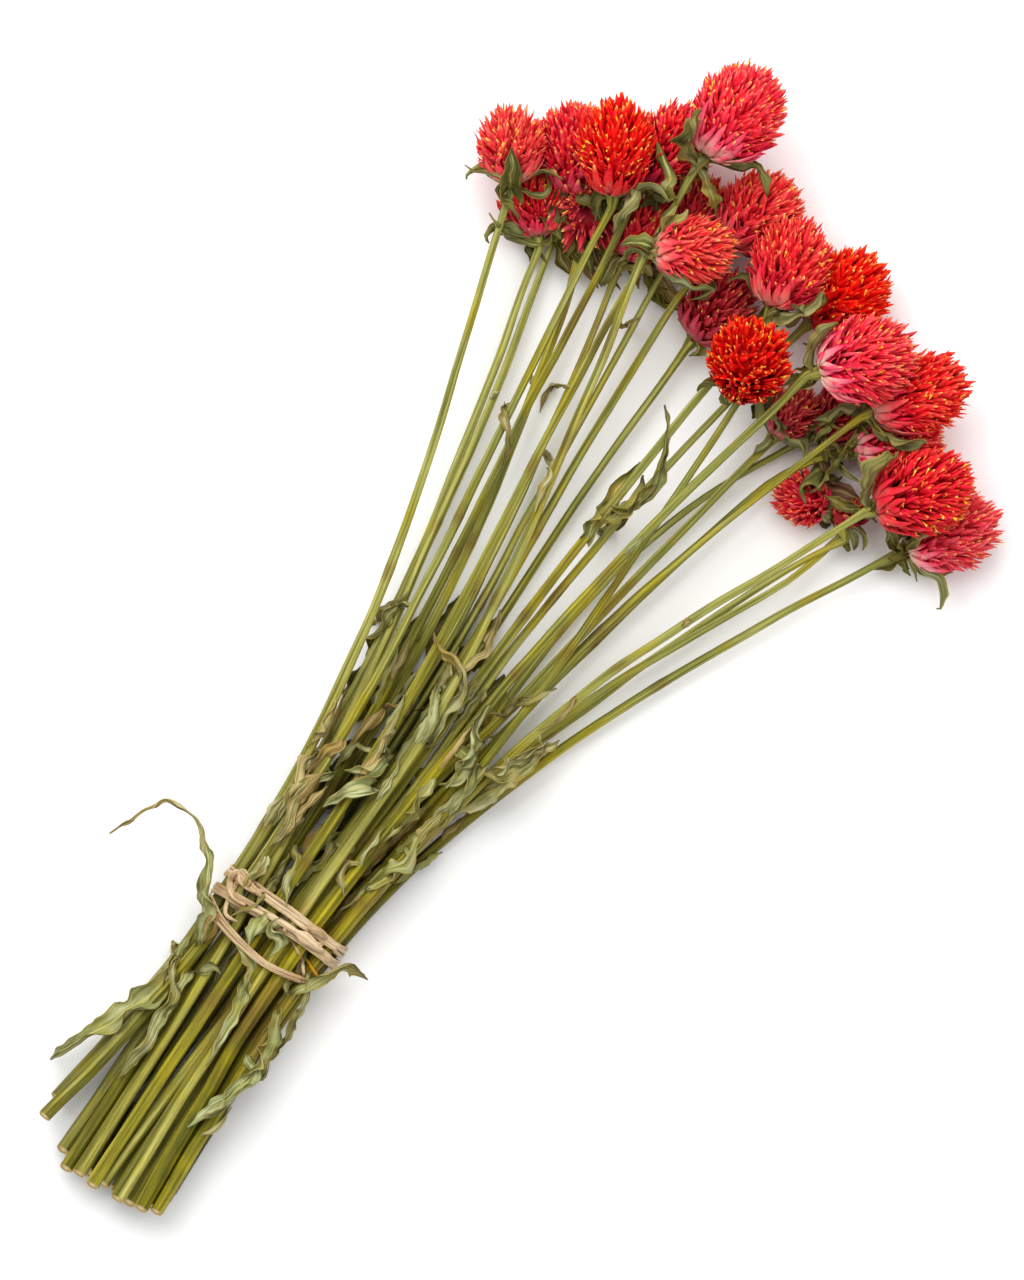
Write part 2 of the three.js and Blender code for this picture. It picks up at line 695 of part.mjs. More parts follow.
// The spines of the leafy bracts under a head lie in the plane of its axis and the bract's own direction. They
// hug the head, spread from it or hang down beside the stem.
const BRACT_STANDOFF = 1.2; // from the bractlet tips to the middle of a bract that hugs them
const BRACT_ROOT = [0.7, -1.5]; // out from the axis and up from the head's base, inside the stem's top
const BRACT_SHOULDER = [4, 0.2];
const HUG_STEPS = [0.45, 0.75, 1]; // of the way round the head
const HUG_START = 0.3; // radians round the head from its base
const SPREAD_RISE = [0.35, 0.5, 0.2]; // of a third of the length, added at each third
const HANG_OUT = [[4, -0.8], [6, 0], [6.5, 0]];
const HANG_DROP = [0, 0.4, 1]; // of the length
const BRACT_WIDTHS = {
  hug: [2.2, 5.4, 6, 4.4, 1.2],
  spread: [2.2, 4.4, 5, 3.6, 1.1],
  hang: [2, 3.6, 4, 1.1],
};

function bractBlade(head, [degrees, way, length]) {
  const { upper, right } = headFrame(head);
  const angle = THREE.MathUtils.degToRad(degrees);
  const out = upper.clone().multiplyScalar(Math.cos(angle)).addScaledVector(right, Math.sin(angle));
  const side = new THREE.Vector3().crossVectors(head.axis, out);
  const base = basePoint(head);
  const from = (outwards, upwards) =>
    base.clone().addScaledVector(out, outwards).addScaledVector(head.axis, upwards);
  const beside = (fromBase) => {
    const reach = headReach(head, Math.PI - fromBase) + BRACT_STANDOFF;
    const point = head.centre.clone().addScaledVector(head.axis, -reach * Math.cos(fromBase));
    return point.addScaledVector(out, reach * Math.sin(fromBase));
  };
  const turn = length / head.radius;
  const spine = [from(...BRACT_ROOT)];
  if (way === 'hug') spine.push(beside(HUG_START), ...HUG_STEPS.map((step) => beside(turn * step)));
  if (way === 'hang') {
    HANG_OUT.forEach(([outwards, upwards], i) => {
      spine.push(from(outwards, upwards - length * HANG_DROP[i]));
    });
  }
  if (way === 'spread') {
    const [outwards, upwards] = BRACT_SHOULDER;
    const third = (length - outwards) / 3;
    spine.push(from(outwards, upwards));
    SPREAD_RISE.forEach((rise, i) => {
      spine.push(from(outwards + third * (i + 1), upwards + rise * third * (i + 1)));
    });
  }
  return { spine, across: spine.map(() => side), widths: BRACT_WIDTHS[way] };
}

// The height of what lies under a leaf at a place: stems, heads, raffia, and the leaves laid before.
const laidLeaves = [];
const TIE_HALF = 11; // of the bunch's length that the raffia and its knot take, to each side

function topAt(x, y, half, ownStem) {
  const inTie = Math.abs(y - TIE_Y) < TIE_HALF + half;
  const wrap = inTie ? RAFFIA_THICKNESS + GAP * 2 : 0;
  let top = 0;
  for (const name of names) {
    const { head, nodes } = STEMS[name];
    const spot = name === ownStem && !inTie ? null : at(nodes, y);
    if (spot) {
      const reach = (spot.radius + wrap) * Math.hypot(1, spot.slopeX) + half;
      const over = (spot.radius + wrap) * Math.hypot(1, spot.slopeZ);
      if (Math.abs(spot.x - x) < reach) top = Math.max(top, spot.z + over);
    }
    const away = Math.max(Math.hypot(head.centre.x - x, head.centre.y - y) - half, 0);
    if (away < head.radius) top = Math.max(top, head.centre.z + Math.sqrt(head.radius ** 2 - away ** 2));
  }
  for (const leaf of laidLeaves) {
    if (leaf.stem === ownStem) continue;
    if (Math.hypot(leaf.x - x, leaf.y - y) < half + leaf.half + 0.5) top = Math.max(top, leaf.top);
  }
  return top;
}

const LEAF_ROLL = THREE.MathUtils.degToRad(14); // to one side and the other in turn, as the leaf twists
const LEAF_SAMPLES = 5; // along each stretch between two points of a leaf's way

function leafBlade({ stem, tip, widths, way }) {
  const plan = way.map(place);
  const last = plan.length - 1;
  const stretchTop = [];
  for (let i = 0; i < last; i++) {
    const half = Math.max(widths[i], widths[i + 1]) / 2;
    let top = 0;
    for (let k = 0; k <= LEAF_SAMPLES; k++) {
      const share = k / LEAF_SAMPLES;
      const x = THREE.MathUtils.lerp(plan[i][0], plan[i + 1][0], share);
      const y = THREE.MathUtils.lerp(plan[i][1], plan[i + 1][1], share);
      top = Math.max(top, topAt(x, y, half, stem));
    }
    stretchTop.push(top);
  }
  const rootSpot = at(STEMS[stem].nodes, plan[0][1]);
  const spine = [];
  const across = [];
  plan.forEach(([x, y], i) => {
    const roll = LEAF_ROLL * (i % 2 === 0 ? 1 : -1);
    const lift = BLADE_THICKNESS / 2 + GAP + (widths[i] / 2) * Math.sin(LEAF_ROLL);
    const under = Math.max(stretchTop[Math.max(i - 1, 0)], stretchTop[Math.min(i, last - 1)]);
    const hanging = THREE.MathUtils.lerp(rootSpot.z, tip, i / last);
    const z = i === 0 ? rootSpot.z : Math.max(under + lift, Math.min(hanging, rootSpot.z + lift));
    const before = plan[Math.max(i - 1, 0)];
    const after = plan[Math.min(i + 1, last)];
    const side = new THREE.Vector3(before[1] - after[1], after[0] - before[0], 0).normalize();
    across.push(side.multiplyScalar(Math.cos(roll)).setZ(Math.sin(roll)));
    spine.push(new THREE.Vector3(i === 0 ? rootSpot.x : x, y, z));
    if (i > 0) laidLeaves.push({ stem, x, y, half: widths[i] / 2, top: z + lift });
  });
  return { spine, across, widths };
}

// What a head must keep behind: planes square to a direction, at a distance from its middle.
const LIMITS_WITHIN = 2.2; // of a head's radius
const MOST_STRETCH = 1.15; // of a slanting stem's ring, next to a head

function limitsOf(name) {
  const { head } = STEMS[name];
  const limits = [
    { direction: new THREE.Vector3(0, 0, -1), distance: head.centre.z },
    { direction: head.axis.clone().negate(), distance: head.length / 2 },
  ];
  const beyond = (point, keep) => {
    const direction = point.clone().sub(head.centre);
    const distance = direction.length();
    if (distance > head.radius * LIMITS_WITHIN) return;
    limits.push({ direction: direction.divideScalar(distance), distance: distance - keep });
  };
  const nearest = (from, to) => {
    const line = new THREE.Line3(from, to);
    return line.closestPointToPoint(head.centre, true, new THREE.Vector3());
  };
  for (const other of names) {
    const { head: second, nodes } = STEMS[other];
    if (other !== name) {
      const apart = second.centre.clone().sub(head.centre);
      const distance = apart.length();
      const middle = (distance ** 2 + head.radius ** 2 - second.radius ** 2) / (2 * distance);
      limits.push({ direction: apart.divideScalar(distance), distance: middle - GAP / 2 });
      beyond(nearest(basePoint(second, RECEPTACLE_LENGTH), basePoint(second)), RECEPTACLE_RADIUS + GAP);
    }
    if (other === name && !STEMS[name].fork) continue;
    for (let i = 0; i + 1 < nodes.length; i++) {
      const [a, b] = [nodes[i], nodes[i + 1]];
      const lean = Math.hypot(1, (b.x - a.x) / (b.y - a.y), (b.z - a.z) / (b.y - a.y));
      const point = nearest(new THREE.Vector3(a.x, a.y, a.z), new THREE.Vector3(b.x, b.y, b.z));
      beyond(point, Math.max(a.radius, b.radius) * Math.min(lean, MOST_STRETCH) + GAP);
    }
  }
  return limits;
}

// A flower head. A core of diamond facets in staggered rows, from the base to the tip of the head, with each
// facet raised to the tip of a bractlet that leans the way that the head grows.
const CORE = 0.77; // of the reach of the bractlet tips
const BRACTLET_LEAN = 0.42; // of the height of a row
const SHORTEST_BRACTLET = 0.93; // of the reach of the longest
const LARGE_HEAD = 23; // wide
const LATTICE = { large: { rows: 8, columns: 12 }, small: { rows: 7, columns: 9 } };

function seeded(seed) {
  let state = seed;
  return () => {
    state = (state * 1664525 + 1013904223) % 4294967296;
    return state / 4294967296;
  };
}

function headSolid(name, seed) {
  const { head } = STEMS[name];
  const { upper, right } = headFrame(head);
  const limits = limitsOf(name);
  const random = seeded(seed);
  const { rows, columns } = head.width > LARGE_HEAD ? LATTICE.large : LATTICE.small;
  const rowAngle = Math.PI / (rows + 1);
  const columnAngle = (2 * Math.PI) / columns;
  const vertices = [];

  const add = (fromAxis, round, share) => {
    const direction = head.axis.clone().multiplyScalar(Math.cos(fromAxis));
    direction.addScaledVector(upper, Math.sin(fromAxis) * Math.cos(round));
    direction.addScaledVector(right, Math.sin(fromAxis) * Math.sin(round));
    let reach = headReach(head, fromAxis) * share;
    for (const limit of limits) {
      const facing = direction.dot(limit.direction);
      if (facing > TINY) reach = Math.min(reach, limit.distance / facing);
    }
    return vertices.push(head.centre.clone().addScaledVector(direction, reach)) - 1;
  };

  const basePole = add(Math.PI, 0, 1);
  const tipPole = add(0, 0, CORE);
  const lattice = [];
  for (let row = 0; row < rows; row++) {
    const fromAxis = Math.PI - rowAngle * (row + 1);
    const ring = [];
    for (let i = 0; i < columns; i++) {
      ring.push(add(fromAxis, (i + (row % 2) / 2) * columnAngle, CORE));
    }
    lattice.push(ring);
  }
  const faces = [];
  for (let row = 0; row < rows; row++) {
    for (let i = 0; i < columns; i++) {
      const odd = row % 2;
      const above = (i + odd) % columns;
      const low = row === 0 ? basePole : lattice[row - 1][above];
      const high = row === rows - 1 ? tipPole : lattice[row + 1][above];
      const left = lattice[row][i];
      const next = lattice[row][(i + 1) % columns];
      if (row === 0) {
        faces.push([low, next, high], [low, high, left]);
        continue;
      }
      const fromAxis = Math.PI - rowAngle * (row + 1 + BRACTLET_LEAN);
      const length = THREE.MathUtils.lerp(SHORTEST_BRACTLET, 1, random());
      const tip = add(fromAxis, (i + (1 + odd) / 2) * columnAngle, length);
      faces.push([low, next, tip], [next, high, tip], [high, left, tip], [left, low, tip]);
    }
  }
  return toSolid(vertices, faces);
}

// The green part of a stem: its tube with the swollen top that carries the head, its bracts and its leaves,
// and on a forked stem the branch to the head.
const stemBlades = {};
for (const name of names) {
  const { head, bracts } = STEMS[name];
  const leaves = LEAVES.filter((leaf) => leaf.stem === name).map(leafBlade);
  stemBlades[name] = [...bracts.map((bract) => bractBlade(head, bract)), ...leaves];
}

function branchTube({ head, nodes, fork }) {
  const from = at(nodes, place(fork)[1]);
  const start = new THREE.Vector3(from.x, from.y, from.z);
  const { upper, right } = headFrame(head);
  const root = ringSides.map((side) => ringPoint(start, upper, right, STEM_RADIUS_AT_NECK, side));
  return loft([root, ...swellingRings(head)]);
}

function greenSolid(name) {
  let green = stemTube(STEMS[name]);
  if (STEMS[name].fork) green = green.add(branchTube(STEMS[name]));
  for (const shape of stemBlades[name]) green = green.add(blade(shape));
  return green;
}

// A head with the dents that bracts and leaves press into it. A bractlet tip that a dent cuts off is dropped.
function redSolid(name, seed) {
  let red = headSolid(name, seed);
  const whole = red.volume();
  for (const shape of names.flatMap((other) => stemBlades[other])) {
    const dent = blade(shape, GAP);
    if (red.intersect(dent).volume() > 0) red = red.subtract(dent);
  }
  return red.decompose().find((piece) => piece.volume() > whole / 2);
}

// The raffia. Each turn is a flat band that stands off the stems inside it by the gap, and its lowest stretch
// lies flat on the surface. left and right are the places of a turn's two sides along y, from the middle.
const TURNS = [{ left: 3.8, right: 6 }, { left: -0.6, right: 1.6 }, { left: -7.4, right: -6.4 }];
const BAND_SIDES = 20;
const BUNCH_HALF_WIDTH = (COLUMNS_IN_TIE * STEM_PITCH) / 2;

function bandY(turn, x) {
  const share = (x - TIE_X + BUNCH_HALF_WIDTH) / (2 * BUNCH_HALF_WIDTH);
  return TIE_Y + THREE.MathUtils.lerp(turn.left, turn.right, share);
}

// The corners of the band, counted from the surface round by the right, at a distance outside the stems.
function bandCorners(turn, outside) {
  const lowest = TIE_Y + Math.min(turn.left, turn.right) - RAFFIA_WIDTH / 2;
  const highest = TIE_Y + Math.max(turn.left, turn.right) + RAFFIA_WIDTH / 2;
  const spots = names.flatMap((name) => [lowest, highest].map((y) => at(STEMS[name].nodes, y)));
  const step = (2 * Math.PI) / BAND_SIDES;
  const reach = [];
  for (let i = 0; i < BAND_SIDES; i++) {
    const angle = i * step - Math.PI / 2;
    const stems = spots.map(({ x, z, radius }) => x * Math.cos(angle) + z * Math.sin(angle) + radius);
    const inner = Math.max(...stems) + GAP;
    reach.push(outside + (i === 0 ? Math.max(inner, -RAFFIA_THICKNESS) : inner));
  }
  return reach.map((here, i) => {
    const next = reach[(i + 1) % BAND_SIDES];
    const angle = i * step - Math.PI / 2;
    const x = (here * Math.sin(angle + step) - next * Math.sin(angle)) / Math.sin(step);
    const z = (next * Math.cos(angle) - here * Math.cos(angle + step)) / Math.sin(step);
    return new THREE.Vector3(x, bandY(turn, x), z);
  });
}

function bandSolid(turn) {
  const inner = bandCorners(turn, 0);
  const outer = bandCorners(turn, RAFFIA_THICKNESS);
  const vertices = inner.flatMap((corner, i) => {
    const away = new THREE.Vector3(0, RAFFIA_WIDTH / 2, 0);
    const out = outer[i].clone().setY(corner.y);
    return [out.clone().sub(away), out.clone().add(away), corner.clone().add(away), corner.clone().sub(away)];
  });
  const faces = [];
  for (let i = 0; i < BAND_SIDES; i++) {
    for (let side = 0; side < 4; side++) {
      const a = i * 4 + side;
      const b = i * 4 + ((side + 1) % 4);
      const c = ((i + 1) % BAND_SIDES) * 4 + side;
      const d = ((i + 1) % BAND_SIDES) * 4 + ((side + 1) % 4);
      faces.push([a, b, d], [a, d, c]);
    }
  }
  return toSolid(vertices, faces);
}

// Raffia strands that lie on the turns: one across all three at the knot, and the two cut ends. Their places
// are counted from a corner of the first or the last turn.
const KNOT_CORNER = 13; // on the upper left shoulder of the bunch
const END_CORNER = 7; // on the upper right shoulder
const KNOT_TOP = [0, 3.5, 0.6];
const KNOT_FOOT = [0, -3, 0.4];
const LOOSE_END = [[0, -0.5, 0], [-3, 2.5, 1], [-6, 4, 0]];
const CUT_END = [[0, 0, 0], [1.5, -2.5, 0], [2, -4.6, -0.5]];
const STRAND_WIDTHS = [1.6, 2.6, 2.6, 2.6, 1.6];

function strandBlade(spine) {
  const across = spine.map(() => new THREE.Vector3(1, 0, 1).normalize());
  return { spine, across, widths: STRAND_WIDTHS.slice(0, spine.length) };
}

function raffiaSolid() {
  const corners = TURNS.map((turn) => bandCorners(turn, RAFFIA_THICKNESS));
  const knot = corners.map((ring) => ring[KNOT_CORNER]);
  const past = (point, offset) => point.clone().add(new THREE.Vector3(...offset));
  const across = [past(knot[0], KNOT_TOP), ...knot, past(knot.at(-1), KNOT_FOOT)];
  const looseEnd = LOOSE_END.map((offset) => past(knot[0], offset));
  const cutEnd = CUT_END.map((offset) => past(corners[0][END_CORNER], offset));
  const strands = [across, looseEnd, cutEnd].map(strandBlade);
  return [...TURNS.map(bandSolid), ...strands.map((strand) => blade(strand))].reduce((a, b) => a.add(b));
}

// The model
const COLOURS = {
  stem: '#8c8e46',
  raffia: '#c9ab88',
  scarlet: '#c8200f',
  red: '#c2263a',
  pink: '#cf4c66',
  crimson: '#a01c2e',
  dusky: '#8f2c3c',
};

const SMALLEST_DETAIL = 0.02; // shorter edges, left where solids were joined, are closed up

function toMesh(name, solid, colour) {
  const { vertProperties, triVerts } = solid.simplify(SMALLEST_DETAIL).getMesh();
  const geometry = new THREE.BufferGeometry();
  geometry.setAttribute('position', new THREE.BufferAttribute(new Float32Array(vertProperties), 3));
  geometry.setIndex(new THREE.BufferAttribute(new Uint32Array(triVerts), 1));
  const material = new THREE.MeshStandardMaterial({ color: colour, roughness: 0.8, metalness: 0 });
  const mesh = new THREE.Mesh(geometry, material);
  mesh.name = name;
  return mesh;
}

const bunch = new THREE.Group();
names.forEach((name, i) => {
  bunch.add(toMesh(`stem_${name}`, greenSolid(name), COLOURS.stem));
  bunch.add(toMesh(`head_${name}`, redSolid(name, i + 1), COLOURS[STEMS[name].head.tint]));
});
bunch.add(toMesh('raffia_tie', raffiaSolid(), COLOURS.raffia));

const middle = new THREE.Box3().setFromObject(bunch).getCenter(new THREE.Vector3());
bunch.position.set(-middle.x, -middle.y, 0);

export default bunch;
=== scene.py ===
"""A bunch of dried globe amaranth, tied with raffia, lying on a white surface.

Lengths are in millimetres and become metres when a mesh is made. +Y runs along the bunch from the cut
ends to the flower heads, and +Z is up. Stems, heads and raffia are read from the frame and replace its
solids.
"""
import math

import bpy
import numpy as np
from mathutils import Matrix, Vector
from mathutils.bvhtree import BVHTree


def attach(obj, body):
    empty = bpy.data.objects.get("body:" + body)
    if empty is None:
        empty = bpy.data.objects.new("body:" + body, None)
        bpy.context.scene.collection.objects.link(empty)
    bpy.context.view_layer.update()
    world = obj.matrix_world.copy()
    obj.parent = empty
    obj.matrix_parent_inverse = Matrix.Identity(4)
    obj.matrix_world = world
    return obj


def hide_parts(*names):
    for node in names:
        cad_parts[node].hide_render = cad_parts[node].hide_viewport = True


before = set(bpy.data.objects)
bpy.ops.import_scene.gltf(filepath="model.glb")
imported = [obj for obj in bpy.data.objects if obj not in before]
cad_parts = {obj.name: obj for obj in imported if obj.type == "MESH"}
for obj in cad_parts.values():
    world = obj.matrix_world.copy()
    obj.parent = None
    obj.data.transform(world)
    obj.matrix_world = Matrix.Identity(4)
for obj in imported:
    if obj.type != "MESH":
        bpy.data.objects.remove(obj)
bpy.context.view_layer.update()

MM = 0.001
SLACK = 1e-6

# The photograph
IMAGE_WIDTH = 1024
IMAGE_HEIGHT = 1280
MM_PER_PIXEL = 0.29
ORIGIN_IN_PHOTO = (488.6, 671.4)  # the pixel that lies at x = 0, y = 0
BUNCH_LEAN = math.radians(36.5)  # of the bunch from upright in the photograph

# Sizes that the frame's solids have
RADIUS_AT_CUT = 2.1
RADIUS_AT_NECK = 1.3
RECEPTACLE_RADIUS = 2.1
RECEPTACLE_LENGTH = 3.6
SOLID_BLADE = 0.7  # how thick leaves and bracts are

NAMES = "abcdefghijklmnopqrstuvwx"

# Leafy bracts under each head: degrees round the head from its upper side, way of growing, length
BRACTS = {
    "a": [(0, "hug", 17), (85, "spread", 15), (-85, "spread", 12), (170, "hang", 12)],
    "b": [(60, "spread", 17), (-150, "hang", 8)],
    "c": [(30, "spread", 17), (-30, "hang", 12)],
    "d": [(-35, "hug", 17), (80, "spread", 20), (170, "hang", 16)],
    "e": [(-60, "spread", 16), (60, "hug", 12)],
    "f": [(-50, "spread", 14), (70, "hug", 11)],
    "g": [(55, "spread", 11), (-20, "hang", 11)],
    "h": [(100, "spread", 15), (-90, "spread", 13)],
    "i": [(90, "hug", 20), (-80, "hug", 14), (-30, "hang", 9)],
    "j": [(-100, "spread", 14), (60, "hug", 16), (170, "hang", 10)],
    "k": [(-100, "spread", 18), (100, "spread", 12)],
    "l": [(-70, "spread", 13), (110, "spread", 13)],
    "m": [(-60, "hug", 16), (160, "hang", 12)],
    "n": [(80, "hug", 16), (-120, "hang", 17)],
    "o": [(70, "spread", 14), (-50, "spread", 12)],
    "p": [(-60, "hug", 18), (140, "spread", 16)],
    "q": [(-90, "spread", 15), (90, "spread", 18), (170, "hang", 12)],
    "r": [(0, "hug", 10), (80, "spread", 10)],
    "s": [(60, "spread", 12), (-80, "spread", 14)],
    "t": [(-105, "spread", 12), (80, "spread", 12)],
    "u": [(30, "spread", 11)],
    "v": [(50, "hug", 12)],
    "w": [(80, "spread", 12)],
    "x": [(60, "spread", 10)],
}
FORKED = "r"  # the stem whose head is on a side branch
BROKEN_END = (860, 543)  # the pixel where that stem ends

# Leaves: the stem that each grows from, pixels along its middle from the root, its widths there, its
# greenness (from 0 to 1, as in the tables below), and how brown it is at its outer end
LEAVES = [
    ("b", [(197, 945), (201, 925), (207, 900), (209, 878), (207, 853), (202, 830), (186, 808),
           (160, 801), (109, 834)], [2.4, 4, 4.8, 3.8, 2.4, 2.2, 1.6, 1.4, 1.5], 0.1, 0.9),
    ("b", [(176, 968), (155, 990), (125, 1013), (93, 1036), (50, 1060)],
     [2.4, 6.4, 7.4, 4.8, 3.2], 0.1, 0.15),
    ("v", [(194, 967), (180, 985), (165, 1008), (147, 1040), (118, 1078)],
     [2, 3.4, 4, 4.6, 1.8], 0.1, 0.2),
    ("i", [(243, 983), (241, 998), (236, 1012), (222, 1035), (206, 1065)], [3, 5, 3.4, 3, 1.6], 0, 0),
    ("l", [(292, 995), (314, 983), (336, 970), (350, 967), (367, 979)],
     [2, 3, 2.6, 3.6, 2.6], 0.4, 0.6),
    ("l", [(280, 1012), (272, 1038), (256, 1066), (228, 1098), (195, 1122)],
     [2, 3.4, 4.4, 4.4, 1.6], 0.2, 0.2),
    ("i", [(428, 752), (443, 720), (460, 698), (466, 678), (458, 660), (440, 645), (433, 633)],
     [2, 3.6, 3.8, 3, 3.2, 2.2, 1.2], 0.0, 0.8),
    ("d", [(396, 750), (380, 764), (362, 770), (345, 771)], [2, 3.4, 3, 1.2], 0.1, 0.0),
    ("b", [(336, 770), (318, 779), (298, 785), (284, 802), (276, 826)],
     [2, 2.8, 2.6, 2.6, 1.6], 0.2, 0.2),
    ("d", [(376, 786), (360, 788), (343, 792), (322, 806)], [3, 5, 3.6, 1.6], 0.0, 0.1),
    ("m", [(455, 745), (470, 762), (458, 778), (440, 786)], [2, 4.4, 3.4, 1.4], 0.4, 0.1),
    ("l", [(490, 780), (510, 772), (532, 758), (560, 742)], [2.4, 5, 4, 1.4], 0.1, 0.5),
    ("j", [(588, 541), (594, 521), (607, 503), (622, 484), (640, 462)],
     [2.4, 5, 6, 4.6, 1.2], 0.9, 0.1),
    ("j", [(614, 509), (636, 504), (652, 492), (660, 465), (667, 432), (665, 405)],
     [1.8, 3, 4, 3.2, 2, 1.2], 0.8, 0.1),
    ("l", [(362, 888), (382, 882), (400, 870), (414, 850)], [2, 3.6, 3.2, 1.2], 0.2, 0.1),
]

